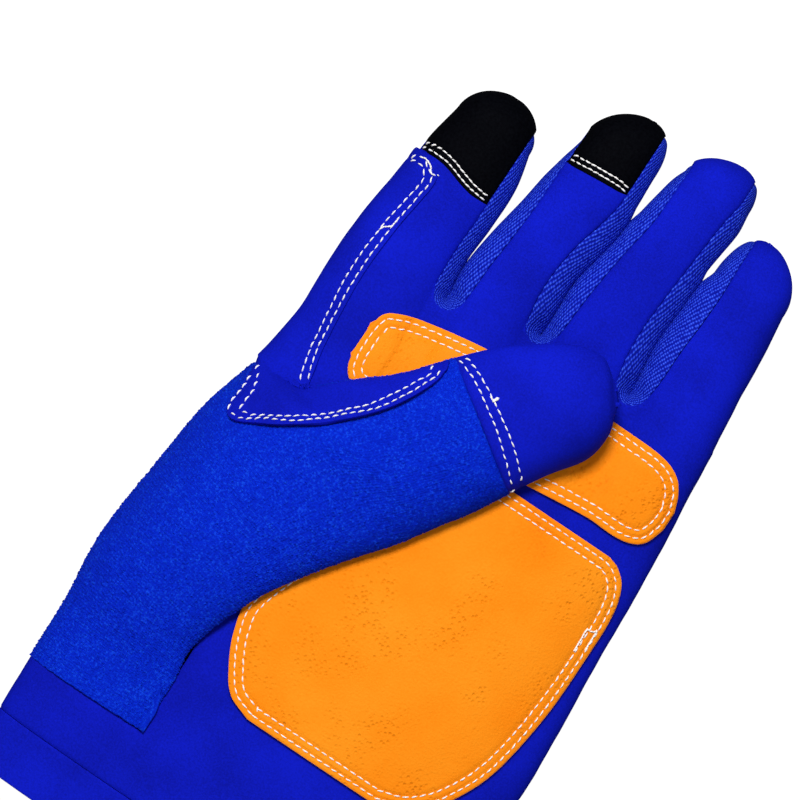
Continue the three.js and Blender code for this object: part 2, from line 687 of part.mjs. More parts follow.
function knucklePatch() {
  const rows = 5;
  return patch('knuckle_patch', ORANGE, KNUCKLE_COLUMNS.length - 1, rows, (i, j, inset) => {
    const x = KNUCKLE_COLUMNS[i];
    const y = mix(knuckleEdges.low(x), knuckleEdges.high(x), j / rows);
    return spotOnGlove(x, y, inset);
  });
}

function heelPatch() {
  const cols = 9;
  return patch('heel_patch', ORANGE, cols, HEEL_ROWS.length - 1, (i, j, inset) => {
    const y = HEEL_ROWS[j];
    return spotOnGlove(mix(heelEdges.left(y), heelEdges.right(y), i / cols), y, inset);
  });
}

const SADDLE_FINGER_ROWS = [81, 79, 75, 68, 60, 52, 44, 36, 28, 20, 14, 9.4];
const SADDLE_THUMB_ROWS = [0, 0.1, 0.25, 0.5, 1, 2, 3, 4, 5, 6, 7, 8, 9, 10];

function saddlePatch() {
  const cols = 6;
  const across = spread(cols).map((t) => 1 - Math.cos(t * Math.PI / 2));
  const overFold = spread(cols).map((t) => Math.sin(t * Math.PI / 2));
  const rows = SADDLE_FINGER_ROWS.length + SADDLE_THUMB_ROWS.length - 1;
  return patch('saddle_patch', BLUE, cols, rows, (i, j, inset) => {
    if (j < SADDLE_FINGER_ROWS.length) {
      const f = FINGERS[0];
      const y = SADDLE_FINGER_ROWS[j];
      const side = (y > f.rootLeft ? f.left(y) : hand.left(y)) + inset;
      return spotOnGlove(mix(side, saddleInner.x(y), across[i]), y, inset);
    }
    const step = SADDLE_THUMB_ROWS[j - SADDLE_FINGER_ROWS.length];
    const fold = saddleLower.fold(step);
    const x = mix(saddleLower.x(step), thumb.ux(fold), overFold[i]);
    const y = mix(saddleLower.y(step), thumb.uy(fold), overFold[i]);
    const spot = findOnThumb(x, y);
    return thumbPoint(spot.s, spot.v, inset - TERRY_PILE);
  });
}

// The hem round the wrist
function cuffBand() {
  const around = 32;
  const rows = 2;
  const top = HEM.panels - SEAM;
  const place = (i, j, inset) => {
    const turn = 2 * Math.PI * i / around;
    const y = mix(HEM.cuff, top, j / rows);
    const c = Math.cos(turn);
    const q = Math.sign(c) * Math.abs(c) ** (2 / PALM_FLAT);
    return Math.sin(turn) >= 0 ? palmPoint(q, y, inset) : backPoint(q, y, inset);
  };
  return sheet('cuff_band', BLUE, 0.75, around, rows,
    (i, j) => place(i, j, 0), (i, j) => place(i, j, WALL.cuff), undefined, true);
}

const glove = new THREE.Group();
glove.add(handPanel(PALM));
glove.add(handPanel(BACK));
CROTCHES.forEach((crotch) => glove.add(fourchette(crotch)));
FINGERS.slice(0, 2).forEach((f) => glove.add(tipCap(f)));
glove.add(thumbPanel('thumb_back_panel', TERRY_BLUE, 1, TERRY_STATIONS, 10, thumbPoint, [0, WALL.terry]));
glove.add(thumbPanel('thumb_tip', BLUE, 0.75, TIP_STATIONS, 10, thumbPoint,
  [-TIP_PROUD, WALL.thumb - TIP_PROUD]));
glove.add(thumbPanel('thumb_underside', BLUE, 0.75, UNDER_STATIONS, 8, undersidePoint, [0, WALL.under]));
glove.add(saddlePatch());
glove.add(knucklePatch());
glove.add(heelPatch());
glove.add(cuffBand());

export default glove;
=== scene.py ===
import math
import random
from bisect import bisect_left
from functools import lru_cache
from types import SimpleNamespace

import bmesh
import bpy
from mathutils import Matrix, Vector, noise
from mathutils.bvhtree import BVHTree
from mathutils.kdtree import KDTree


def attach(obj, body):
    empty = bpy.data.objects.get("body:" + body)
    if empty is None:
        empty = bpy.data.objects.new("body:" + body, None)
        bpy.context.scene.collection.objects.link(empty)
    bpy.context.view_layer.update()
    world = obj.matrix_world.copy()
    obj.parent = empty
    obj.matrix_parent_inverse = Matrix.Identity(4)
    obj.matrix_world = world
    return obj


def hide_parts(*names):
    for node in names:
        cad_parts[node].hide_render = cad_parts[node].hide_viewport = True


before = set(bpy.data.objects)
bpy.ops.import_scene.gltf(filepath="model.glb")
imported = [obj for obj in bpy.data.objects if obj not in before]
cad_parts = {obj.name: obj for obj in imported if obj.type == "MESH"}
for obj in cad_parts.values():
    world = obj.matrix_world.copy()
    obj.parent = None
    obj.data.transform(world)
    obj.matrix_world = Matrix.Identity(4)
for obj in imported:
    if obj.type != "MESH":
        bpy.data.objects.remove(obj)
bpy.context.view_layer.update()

MM = 0.001
SEAM = 0.15  # gap between two panels that are sewn together
HALF_SEAM = SEAM / 2
FOLD = 9.4  # height of the side seams, where palm and back meet
FINGER_RISE = 10.2  # from the side seams up to a finger's front
FINGER_DROP = 10.8  # and down to its back, less what the floor flattens
PALM_DROP = 11
SECTION = 2.4  # exponent of the rounded finger section
PALM_FLAT = 3  # exponents of the flatter section of the palm
PALM_SIDE = 0.45
ROOT_LENGTH = 40  # over which the fingers' sections turn into the palm's
BACK_SEAM = 0.72  # where the back's seam lies, as a share of a finger's half width
SEAM_LEAST = 0.05  # least distance of a front's seam from the finger's middle, as such a share
TIP_SECTION = 0.998  # how far a fingertip is drawn towards its pole
TIP_LEAST = 1.2  # half width and height at which a fingertip closes
CROTCH_SEAM = 4.8  # depth of a crotch's seam, and of the slit between its strip's two legs
CROTCH_SLIT = 1.5
WALL = SimpleNamespace(
    palm=1.5, back=1.4, strip=1.0, terry=1.6, thumb=1.5, under=1.5, patch=1.1, cap=1.2, cuff=2)
CAP_PROUD = 0.5  # how far a touch tip stands out from its finger, and the thumb's tip from the thumb
TIP_PROUD = 0.7
HEM = SimpleNamespace(terry=-96.2, panels=-112.8, cuff=-128.55)
THUMB_HOLE_TOP = 9
THUMB_HOLE_LOW = -95.5
PATCH_LIFT = 1.75  # top face of a patch over the leather under it
PATCH_OUT = 1.2  # the same where a patch wraps over a side
TERRY_PILE = 0.65  # by which the saddle patch lies higher on the terry than on leather
CLEAR = 2.6  # height of the thumb's underside over the palm
TUCK = 0.4  # how far the thumb's underside goes down into the seam of the thumb hole
TUCK_SHARE = 0.1  # share of the underside's width that this takes
LAP = Vector((-0.35, 0, -0.8))  # how far the terry laps over the back panel at the side seam
LAP_SHARE = 0.04
FLOOR_GAP = 0.02  # least height of any cloth over the floor
WELD = 0.01
# Each kind of stitch: from one to the next along its row, and its own size
STITCH = SimpleNamespace(pitch=2.4, length=2, width=0.45, height=0.3)
CAP_STITCH = SimpleNamespace(pitch=1.85, length=1.9, width=0.5, height=0.3)
LOOSE = SimpleNamespace(pitch=0.8, length=1.3, width=0.46, height=0.32)  # thread that runs on unbroken
KNOT = SimpleNamespace(pitch=0.5, length=1.3, width=1.0, height=0.5)
KNIT_LOOP = (0.7, 1.08)  # millimetres from loop to loop in a row, and from row to row
KNIT_SLANT = -31  # degrees from the strip to its rows
KNIT_CELL = (0.5, 0.38)  # millimetres of strip along and across one cell

random.seed(34)


def mix(a, b, t):
    return a + (b - a) * t


def clamp(x, low, high):
    return max(low, min(high, x))


def smooth(t):
    t = clamp(t, 0, 1)
    return t * t * (3 - 2 * t)


def spread(n):
    return [k / n for k in range(n + 1)]


# The same from 0 to 1, with closer steps near both ends
def round_spread(n):
    return [(1 - math.cos(math.pi * t)) / 2 for t in spread(n)]


# A smooth curve through a table's values
def curve(xs, ys):
    last = len(xs) - 1
    slopes = []
    for k in range(last + 1):
        a, b = max(0, k - 1), min(last, k + 1)
        slopes.append((ys[b] - ys[a]) / (xs[b] - xs[a]))

    @lru_cache(maxsize=None)
    def at(x):
        if x <= xs[0]:
            return ys[0]
        if x >= xs[last]:
            return ys[last]
        k = bisect_left(xs, x) - 1
        h = xs[k + 1] - xs[k]
        t = (x - xs[k]) / h
        t2, t3 = t * t, t * t * t
        return (
            (2 * t3 - 3 * t2 + 1) * ys[k] + (t3 - 2 * t2 + t) * h * slopes[k]
            + (3 * t2 - 2 * t3) * ys[k + 1] + (t3 - t2) * h * slopes[k + 1]
        )

    return at


# One curve for each named column of a table, over its first column
def curves(columns, rows):
    rows = sorted(rows)
    xs = [row[0] for row in rows]
    names = columns.split()[1:]
    return SimpleNamespace(**{n: curve(xs, [row[c + 1] for row in rows]) for c, n in enumerate(names)})


# The hand's outline from the finger roots to the wrist, seen from above
hand = curves("y left right rise", [
    (60, -58.4, 59.8, 12.3),
    (40, -58.1, 61.8, 12.8),
    (26, -57.7, 63.4, 13),
    (8, -60.2, 65.1, 13.2),
    (-10, -65.2, 66.3, 13.6),
    (-30, -67.3, 68, 14),
    (-48, -68.9, 69.4, 14),
    (-60, -69.1, 68.9, 13.8),
    (-78, -67.2, 65.5, 13.2),
    (-95, -66.6, 60.6, 12.4),
    (-112, -65.8, 55.4, 11.6),
    (HEM.cuff, -65.6, 54, 11),
])
ROOT_LEFT = -58.3  # the hand's sides at the finger roots
ROOT_RIGHT = 59.8


# One finger: its round end, its root, its sides and the seams of its front. A seam that is given
# beyond the finger's side stands for none: front and back meet there without a strip.
def finger(name, end, tip, root, rows):
    sides = curves("y left right seam_left seam_right", rows)
    facts = dict(name=name, round=end, tip_x=tip[0], tip_y=tip[1], root_left=root[0], root_right=root[1])
    return SimpleNamespace(**facts, **vars(sides))


FINGERS = [
    finger("index", 98, (-40.6, 109.4), (51, 53.5), [
        (51, -58.3, -27, -70, -30.4),
        (62, -57.6, -27.7, -70, -31),
        (75, -56.2, -26.9, -70, -31),
        (88, -55.2, -26.9, -70, -31),
        (98, -53.4, -29.1, -70, -31),
    ]),
    finger("middle", 112, (-5.3, 125.5), (53.5, 60), [
        (53.5, -24.7, -0.4, -21.5, -3.4),
        (60, -26.2, 0.2, -21.2, -3.7),
        (66, -26.4, 1, -21.1, -4.9),
        (75, -25.5, 0.7, -20.5, -5),
        (85, -24, 2.4, -20, -3.7),
        (92, -23.1, 3.6, -20, -1.8),
        (100, -21.8, 4.2, -20, -0.3),
        (112, -19.7, 3.4, -19.5, -0.3),
    ]),
    finger("ring", 119, (22.6, 128.7), (60, 60), [
        (60, 2.9, 30.3, 5.3, 26.2),
        (66, 2, 30.1, 5.8, 24.8),
        (75, 1.6, 29.2, 6.3, 24.2),
        (85, 3.3, 29.6, 7.3, 24.5),
        (92, 4.6, 29.8, 8.2, 24.9),
        (100, 5, 30.4, 9.5, 25.5),
        (112, 7.2, 31.7, 10, 26.5),
        (119, 9, 31, 10, 27.8),
    ]),
    finger("little", 100, (41.1, 115.3), (60, 58), [
        (58, 32.9, 59.8, 35.7, 80),
        (66, 31.1, 58.9, 36.3, 80),
        (75, 30.2, 57.8, 36.3, 80),
        (85, 30.6, 57.1, 36.8, 80),
        (95, 31.1, 55.9, 37, 80),
        (104, 33, 54.6, 36.5, 80),
    ]),
]
# Where the caps of the index and middle fingers start, and how far the leather runs on under them
cap_edges = [
    curves("x y", [
        (-56, 81.9),
        (-52, 82.3),
        (-48, 82.1),
        (-44.5, 81.3),
        (-41, 80.2),
        (-37, 79.3),
        (-31.8, 78.9),
    ]),
    curves("x y", [
        (-20, 101.6),
        (-12, 102.2),
        (-4, 102.8),
        (0, 102.9),
    ]),
]
CAP_LAP = 0.6

THUMB_SEAM = 10  # section at which the tip's leather is sewn over the terry
THUMB_END = 14.6

# The folded thumb, a row for each section from the wrist hem to the thumb's end. u is the end of the
# section at the glove's side, then at the upper fold; l is its end at the lower fold.
thumb = curves("s ux uy u_rise u_soft lx ly l_rise lift hole clear", [
    (0, -66.7, HEM.terry, 0, 1, -29, -95.2, 0.35, 0.9, 1, CLEAR),
    (1, -67, -80, 0, 1, -29.2, -80, 0.35, 2.5, 1, CLEAR),
    (2, -69.1, -60, 0, 1, -30.1, -67, 0.6, 6.5, 0.96, 0.5),
    (3, -68.4, -42, 0, 1, -24, -48.5, 3.8, 10.5, 0.785, 2),
    (4, -66.9, -24, 0, 1, -15.8, -34.5, 3.8, 12.5, 0.62, CLEAR),
    (5, -64.6, -7, 0, 1, -7.4, -22.8, 3.7, 14, 0.484, CLEAR),
    (6, -60.8, 6.4, 0, 1, 0.4, -12.9, 3.6, 15, 0.3, CLEAR),
    (6.5, -53.8, 7.8, 0.3, 1, 3.6, -8, 3.5, 15.3, 0.14, CLEAR),
    (7, -46.2, 8.2, 1.3, 0.95, 6.8, -3, 3.4, 15.5, 0, CLEAR),
    (7.5, -40.6, 12.9, 3.4, 0.75, 9.6, 1.2, 3.3, 15.5, 0, CLEAR),
    (8, -35.5, 17.8, 5.5, 0.6, 12.4, 5.3, 3.2, 15.5, 0, CLEAR),
    (9, -24.5, 27.6, 6.5, 0.5, 15.9, 11.5, 3.1, 15.5, 0, CLEAR),
    (10, -14.5, 39.6, 7, 0.5, 18.7, 16.5, 3, 15.5, 0, CLEAR),
    (11, -4, 50.5, 7, 0.5, 24.6, 26.6, 3, 16, 0, CLEAR),
    (12, 9.5, 60, 7.2, 0.5, 31.2, 36.3, 3.4, 15.5, 0, CLEAR),
    (13, 18.5, 62.3, 7.4, 0.5, 32.4, 45, 5.2, 13, 0, 3.5),
    (14, 24.6, 58.8, 7.6, 0.5, 30.4, 51.4, 6.6, 9.1, 0, 5.7),
    (THUMB_END, 27.4, 57, 7.7, 0.5, 29.9, 53.8, 7.7, 8.2, 0, 6.9),
])

# The edge of the thumb hole, and the outlines of the patches
thumb_hole = curves("y x", [
    (THUMB_HOLE_TOP, -45.8),
    (1, -41),
    (-14.5, -36.8),
    (-30.5, -34.9),
    (-47, -33.2),
    (-60, -31.2),
    (-68, -29.8),
    (-80, -29.6),
    (THUMB_HOLE_LOW, -29.2),
])
KNUCKLE_ENDS = (-39.4, 60.3)
knuckle_edges = curves("x low high", [
    (KNUCKLE_ENDS[0], 25.6, 32.9),
    (-38.4, 21.2, 37.4),
    (-35.5, 17.9, 40.1),
    (-28, 17, 42.8),
    (-8, 18.1, 46.3),
    (20, 20.8, 49),
    (40, 23, 49.1),
    (50, 22.9, 48.3),
    (55.5, 24.2, 45.8),
    (58.5, 27, 42),
    (KNUCKLE_ENDS[1], 32, 37.5),
])
HEEL_ENDS = (-75.9, 17.4)
heel_edges = curves("y left right", [
    (HEEL_ENDS[1], 14, 51.8),
    (16.4, 10.5, 55),
    (12.7, 7, 59.1),
    (5, 2.5, 61.8),
    (-10, -6.8, 62.6),
    (-30, -18.4, 62),
    (-48, -24.8, 59.5),
    (-58, -23.2, 56),
    (-67.6, -18.4, 50),
    (-73.4, -13.4, 43),
    (HEEL_ENDS[0], -6.6, 35.6),
])
SADDLE_TOP = 82.2
SADDLE_TURN = 9.4  # where the saddle leaves the index finger's side for the thumb
SADDLE_STEPS = 10
SADDLE_LIFT = 1.1  # along the finger it lies flatter than the other patches
saddle_inner = curves("y x", [
    (SADDLE_TOP, -54.5),
    (81.6, -51.5),
    (80, -48.6),
    (78, -47),
    (75, -46.7),
    (70, -47.2),
    (60, -48.4),
    (45, -49),
    (30, -47.9),
    (20, -46.6),
    (14, -45.2),
    (SADDLE_TURN, -44.2),
])
# The patch's lower edge on the thumb, and the section of the thumb's upper fold across from it
saddle_lower = curves("step x y fold", [
    (0, -60.6, 6.9, 7.16),
    (1, -60.2, -1, 7.18),
    (2, -60.2, -6.6, 7.22),
    (3, -57.1, -9.2, 7.3),
    (4, -50.5, -6, 7.42),
    (5, -43.3, -1.9, 7.6),
    (6, -35, 4.4, 8),
    (7, -27.1, 12, 8.5),
    (8, -20.5, 20.6, 9),
    (9, -16.4, 29.2, 9.5),
    (10, -15.2, 35.6, 9.85),
])


# Sections of a finger
def section(f, y, inset):
    """Half the width, the middle and the height's share of a finger at y."""
    low = min(y, f.round)
    half = (f.right(low) - f.left(low)) / 2
    middle = (f.right(low) + f.left(low)) / 2
    if y <= f.round:
        return half - inset, middle, 1
    share = min(TIP_SECTION, (y - f.round) / (f.tip_y - f.round))
    end = math.sqrt(1 - share * share)
    return max(TIP_LEAST, half * end) - inset, mix(middle, f.tip_x, share * share), end


def round_height(q):
    return (1 - min(1, abs(q)) ** SECTION) ** (1 / SECTION)


@lru_cache(maxsize=None)
def seam_angle(f_index, y, side):
    """The angle at which the seam of a finger's front lies, measured up from that side."""
    f = FINGERS[f_index]
    half, middle, _ = section(f, y, 0)
    seam = f.seam_left(y) if side < 0 else f.seam_right(y)
    q = clamp((seam - middle) / half * side, SEAM_LEAST, 1)
    return math.acos(q ** (SECTION / 2))


def back_angle(f_index, y, side):
    return min(math.acos(BACK_SEAM ** (SECTION / 2)), seam_angle(f_index, y, side))


def is_outer(f_index, side):
    return (f_index == 0 and side < 0) or (f_index == 3 and side > 0)


# A point of a finger at an angle, from 0 at its right side to pi at its left, and negative at the back
def finger_point(f, y, angle, inset):
    half, middle, end = section(f, y, inset)
    c, s = math.cos(angle), abs(math.sin(angle))
    height = s ** (2 / SECTION)
    x = middle + half * math.copysign(abs(c) ** (2 / SECTION), c)
    rise = max(FINGER_RISE * end, TIP_LEAST) - inset
    drop = max(FINGER_DROP * end, TIP_LEAST) - inset
    z = FOLD + rise * height if angle >= 0 else max(inset, FOLD - drop * height)
    return Vector((x, y, z))


# The line across the finger roots, and the three crotches in it
def root_line(x):
    a, b, c, d = FINGERS
    right = a.seam_right(a.root_right)
    if x < right:
        return mix(a.root_left, a.root_right, (x - ROOT_LEFT) / (right - ROOT_LEFT))
    left = b.seam_left(b.root_left)
    if x < left:
        return b.root_left
    right = b.seam_right(b.root_right)
    if x < right:
        return mix(b.root_left, b.root_right, (x - left) / (right - left))
    left = d.seam_left(d.root_left)
    if x < left:
        return c.root_left
    return mix(d.root_left, d.root_right, (x - left) / (ROOT_RIGHT - left))


# Each crotch lies between two neighbours, from one's right seam to the other's left one
CROTCHES = []
for k in range(3):
    a, b = FINGERS[k], FINGERS[k + 1]
    CROTCHES.append(SimpleNamespace(
        a=k, b=k + 1, left=a.seam_right(a.root_right), right=b.seam_left(b.root_left)))


# How far the finger sections have swelled out from the side seams at the root line, from 0 to 1
@lru_cache(maxsize=None)
def root_swell(x):
    def at(f, px):
        half, middle, _ = section(f, root_line(px), 0)
        return round_height((px - middle) / half)

    for c in CROTCHES:
        if c.left < x < c.right:
            t = (x - c.left) / (c.right - c.left)
            return mix(at(FINGERS[c.a], c.left), at(FINGERS[c.b], c.right), t)
    return at(FINGERS[sum(x >= c.right for c in CROTCHES)], x)


# How far the palm's edge dips below the root line, as a round slit between two fingers
def crotch_dip(x):
    for c in CROTCHES:
        if c.left < x < c.right:
            q = (2 * x - c.left - c.right) / (c.right - c.left)
            return (CROTCH_SEAM + SEAM) * math.sqrt(1 - q * q)
    return 0


# The palm between the finger roots and the wrist. q runs from -1 at its left side to 1 at its right.
def hand_section(y):
    return (hand.right(y) - hand.left(y)) / 2, (hand.right(y) + hand.left(y)) / 2


def palm_swell(q):
    return (1 - abs(q) ** PALM_FLAT) ** PALM_SIDE


def palm_point(q, y, front=True):
    half, middle = hand_section(y)
    x = mix(ROOT_LEFT, ROOT_RIGHT, (q + 1) / 2)
    away = (root_line(x) - crotch_dip(x) - y) / ROOT_LENGTH
    at_root, beyond = (FINGER_RISE, hand.rise(y)) if front else (-FINGER_DROP, -PALM_DROP)
    height = beyond * palm_swell(q)
    if away < 1:
        height = mix(at_root * root_swell(x), height, smooth(away))
    return Vector((middle + half * q, y, max(0, FOLD + height)))


# The palm's height under a point of the thumb
def palm_spot(x, y):
    half, middle = hand_section(y)
    return FOLD + hand.rise(y) * palm_swell(clamp((x - middle) / half, -1, 1))


# Pieces
def gather(rows, step=0.4):
    """A row given by a few points as many points on one smooth curve."""
    at, total = [0], 0
    for a, b in zip(rows, rows[1:]):
        total += (Vector(b) - Vector(a)).length
        at.append(total)
    axes = [curve(at, [p[k] for p in rows]) for k in range(len(rows[0]))]
    count = max(2, round(total / step))
    return [Vector([axis(total * t) for axis in axes]) for t in spread(count)]


def all_points(rows):
    return [p for row in rows for p in gather(row)]


SURFACES = {}
ROLL = SimpleNamespace(depth=0.35, width=1.1)  # how panels turn in at a seam
PRESS = SimpleNamespace(depth=0.42, width=0.75)  # how thread pulls the leather in
EDGE = SimpleNamespace(width=0.28, segments=2, angle=50)
CREASES = SimpleNamespace(broad=17, fine=5.5, fine_share=0.35, fine_shift=40)


def wrinkle(p, amount):
    broad = noise.noise(Vector((p.x, p.y, p.z)) / CREASES.broad)
    fine = noise.noise(Vector((p.x + CREASES.fine_shift, p.y, p.z)) / CREASES.fine)
    return amount * (broad + CREASES.fine_share * fine)


def shaped(cols, rows, place, keep=None, ring=False, knit=None):
    """A grid of cols by rows cells, laid out by place(i, j), with a UV map where its cells have a size."""
    bm = bmesh.new()
    bmesh.ops.create_grid(bm, x_segments=cols, y_segments=rows, size=0.5)
    cells = {}
    for v in bm.verts:
        cells[v] = (round((v.co.x + 0.5) * cols), round((v.co.y + 0.5) * rows))
    if knit:
        layer = bm.loops.layers.uv.new("knit")
        for f in bm.faces:
            for loop in f.loops:
                i, j = cells[loop.vert]
                loop[layer].uv = (i * knit[0], j * knit[1])
    if keep:
        lost = []
        for f in bm.faces:
            i = min(cells[v][0] for v in f.verts)
            j = min(cells[v][1] for v in f.verts)
            if not keep(i, j):
                lost.append(f)
        bmesh.ops.delete(bm, geom=lost, context="FACES")
    for v in bm.verts:
        v.co = place(*cells[v])
    if ring:
        bmesh.ops.remove_doubles(bm, verts=bm.verts, dist=WELD)
    bm.normal_update()
    return bm


def flip_if(wrong, bm):
    if wrong:
        bmesh.ops.reverse_faces(bm, faces=bm.faces)
        bm.normal_update()


def nearness(points, flat):
    """A function that gives the distance to the nearest of the points, seen from above if flat."""
    tree = KDTree(len(points))
    for k, p in enumerate(points):
        tree.insert((p[0], p[1], 0 if flat else p[2]), k)
    tree.balance()
    return lambda p: tree.find((p.x, p.y, 0 if flat else p.z))[2]


def settle(bm, up, roll=0, puckers=0, pressed=(), above=0):
    """Turns the edges in, adds creases, and presses the sheet in along its stitch rows."""
    bm.normal_update()
    ups = sum(f.normal.z for f in bm.faces if f.calc_center_median().z >= above)
    flip_if((ups < 0) == up, bm)
    edge = nearness([v.co.copy() for v in bm.verts if v.is_boundary], False)
    row = nearness(pressed, True) if pressed else None
    moves = []
    for v in bm.verts:
        move = wrinkle(v.co, puckers) if puckers else 0
        if roll:
            move -= roll * (1 - smooth(edge(v.co) / ROLL.width)) ** 2
        if row:
            move -= PRESS.depth * math.exp(-((row(v.co) / PRESS.width) ** 2))
        moves.append((v, v.normal * move))
    for v, move in moves:
        v.co += move
        v.co.z = max(v.co.z, FLOOR_GAP)


def placed(name, data):
    made = bpy.data.objects.new(name, data)
    bpy.context.collection.objects.link(made)
    return made


def mesh_object(name, bm, material):
    mesh = bpy.data.meshes.new(name)
    bm.to_mesh(mesh)
    bm.free()
    mesh.materials.append(material)
    return placed(name, mesh)


def piece(name, bm, material, nodes, wall=0, cut=False):
    """The finished object: metres, smooth faces, its wall's thickness and softened cut edges."""
    for f in bm.faces:
        f.smooth = True
    bm.normal_update()
    SURFACES[name] = BVHTree.FromBMesh(bm)
    bmesh.ops.scale(bm, vec=(MM, MM, MM), verts=bm.verts)
    obj = mesh_object(name, bm, material)
    if wall:
        solid = obj.modifiers.new("wall", "SOLIDIFY")
        solid.thickness = wall * MM
        solid.offset = -1
    if cut:
        soft = obj.modifiers.new("cut edge", "BEVEL")
        soft.width = EDGE.width * MM
        soft.segments = EDGE.segments
        soft.limit_method = "ANGLE"
        soft.angle_limit = math.radians(EDGE.angle)
    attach(obj, "root")
    if nodes:
        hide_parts(*nodes)


# Materials
def linear(hexa):
    def channel(c):
        c /= 255
        return c / 12.92 if c <= 0.04045 else ((c + 0.055) / 1.055) ** 2.4

    return (*(channel(int(hexa[k:k + 2], 16)) for k in (1, 3, 5)), 1)


def add(tree, kind, inputs=None, **settings):
    made = tree.nodes.new("ShaderNode" + kind)
    for key, value in settings.items():
        setattr(made, key, value)
    for key, value in (inputs or {}).items():
        if isinstance(value, bpy.types.NodeSocket):
            tree.links.new(value, made.inputs[key])
        else:
            made.inputs[key].default_value = value
    return made


def per(size):
    """Pattern scale for a real size in millimetres, on coordinates in metres."""
    return 1 / (size * MM)


def new_material(name):
    material = bpy.data.materials.new(name)
    material.use_nodes = True
    tree = material.node_tree
    tree.nodes.clear()
    return material, tree


def cloth_material(name):
    """A new material with its node tree and the coordinates in metres that its patterns use."""
    material, tree = new_material(name)
    return material, tree, add(tree, "TexCoord").outputs["Object"]


def finish_material(tree, **inputs):
    shader = add(tree, "BsdfPrincipled", {k.replace("_", " "): v for k, v in inputs.items()})
    add(tree, "OutputMaterial", {"Surface": shader.outputs["BSDF"]})


def noisy(tree, spot, scale, detail, roughness=0.5):
    inputs = {"Vector": spot, "Scale": scale, "Detail": detail, "Roughness": roughness}
    return add(tree, "TexNoise", inputs).outputs["Fac"]


def reckon(tree, operation, *values):
    return add(tree, "Math", dict(enumerate(values)), operation=operation).outputs[0]


def spanned(tree, value, low, high, start=0.0, end=1.0):
    """The value with low to high stretched to start to end."""
    inputs = {"Value": value, "From Min": low, "From Max": high, "To Min": start, "To Max": end}
    return add(tree, "MapRange", inputs).outputs[0]


def bumps(tree, height, strength, distance):
    inputs = {"Height": height, "Strength": strength, "Distance": distance * MM}
    return add(tree, "Bump", inputs).outputs[0]


def ramp(tree, value, stops):
    made = add(tree, "ValToRGB", {"Fac": value})
    bar = made.color_ramp
    for k, (place, colour) in enumerate(stops):
        stop = bar.elements[k] if k < 2 else bar.elements.new(place)
        stop.position = place
        stop.color = linear(colour)
    return made.outputs["Color"]


# Microfibre synthetic leather, brushed: an even, dull royal blue with a fine nap
def microfibre():
    material, tree, spot = cloth_material("microfibre_suede_blue")
    cloudy = noisy(tree, spot, per(22), 3.0)
    nap = noisy(tree, spot, per(0.55), 4.0)
    both = reckon(tree, "ADD", cloudy, nap)
    tone = spanned(tree, both, 0.75, 1.25)
    colour = ramp(tree, tone, [(0.0, "#0a149e"), (1.0, "#0e1cc4")])
    bump = bumps(tree, nap, 0.35, 0.1)
    finish_material(tree, Base_Color=colour, Roughness=0.85, Normal=bump, Sheen_Weight=0.05,
                    Sheen_Roughness=0.5, Sheen_Tint=linear("#2038ff"), Specular_IOR_Level=0.04)
    return material


# Polyester tricot, knitted: ribs of small raised loops that run across the strip at a slant. Its colour
# holds painted light on the loop tops and painted shade in the gaps between them.
def tricot():
    material, tree = new_material("polyester_tricot_blue")
    spot = add(tree, "UVMap", uv_map="knit").outputs["UV"]
    slant = add(tree, "Mapping", {"Vector": spot, "Scale": (*KNIT_LOOP, 1),
                                  "Rotation": (0, 0, math.radians(KNIT_SLANT))},
                vector_type="TEXTURE").outputs[0]
    loops = add(tree, "TexVoronoi", {"Vector": slant, "Scale": 1.0, "Randomness": 0.4},
                voronoi_dimensions="2D").outputs["Distance"]
    across = add(tree, "SeparateXYZ", {"Vector": slant}).outputs["Y"]
    middle = reckon(tree, "SUBTRACT", across, 0.2)
    rib = reckon(tree, "PINGPONG", middle, 0.5)
    low = reckon(tree, "MULTIPLY_ADD", rib, 0.6, loops)
    drift = noisy(tree, spot, 0.5, 3.0)
    # A random drift in tone, over painted light on the loop tops and painted shade in the gaps and troughs
    # of the ribs
    drift_and_loop_shade = reckon(tree, "MULTIPLY_ADD", drift, 0.4, low)
    colour = ramp(tree, drift_and_loop_shade, [(0.3, "#4468f2"), (0.95, "#091496"), (0.62, "#1731d2")])
    height = spanned(tree, low, 0.15, 0.8, 1.0, 0.0)
    bump = bumps(tree, height, 0.8, 0.3)
    finish_material(tree, Base_Color=colour, Roughness=0.8, Normal=bump, Sheen_Weight=0.06,
                    Sheen_Tint=linear("#3450ff"), Specular_IOR_Level=0.06)
    return material


# Cotton terry, looped: a brighter blue broken up by painted light on the loop tops and painted shade in the
# gaps between them
def terry():
    material, tree, spot = cloth_material("cotton_terry_blue")
    loops = noisy(tree, spot, per(0.75), 2.0, roughness=0.6)
    drift = noisy(tree, spot, per(6), 2.0)
    # The loop speckle is painted light where its bump stands up and painted shade where it sinks; the drift
    # is random tone
    both = reckon(tree, "MULTIPLY_ADD", drift, 0.2, loops)
    colour = ramp(tree, both, [(0.42, "#0520b6"), (0.9, "#1650e4"), (0.64, "#0529c8")])
    bump = bumps(tree, loops, 0.5, 0.3)
    finish_material(tree, Base_Color=colour, Roughness=0.95, Normal=bump, Sheen_Weight=0.1,
                    Sheen_Tint=linear("#3c5cff"), Specular_IOR_Level=0.04)
    return material
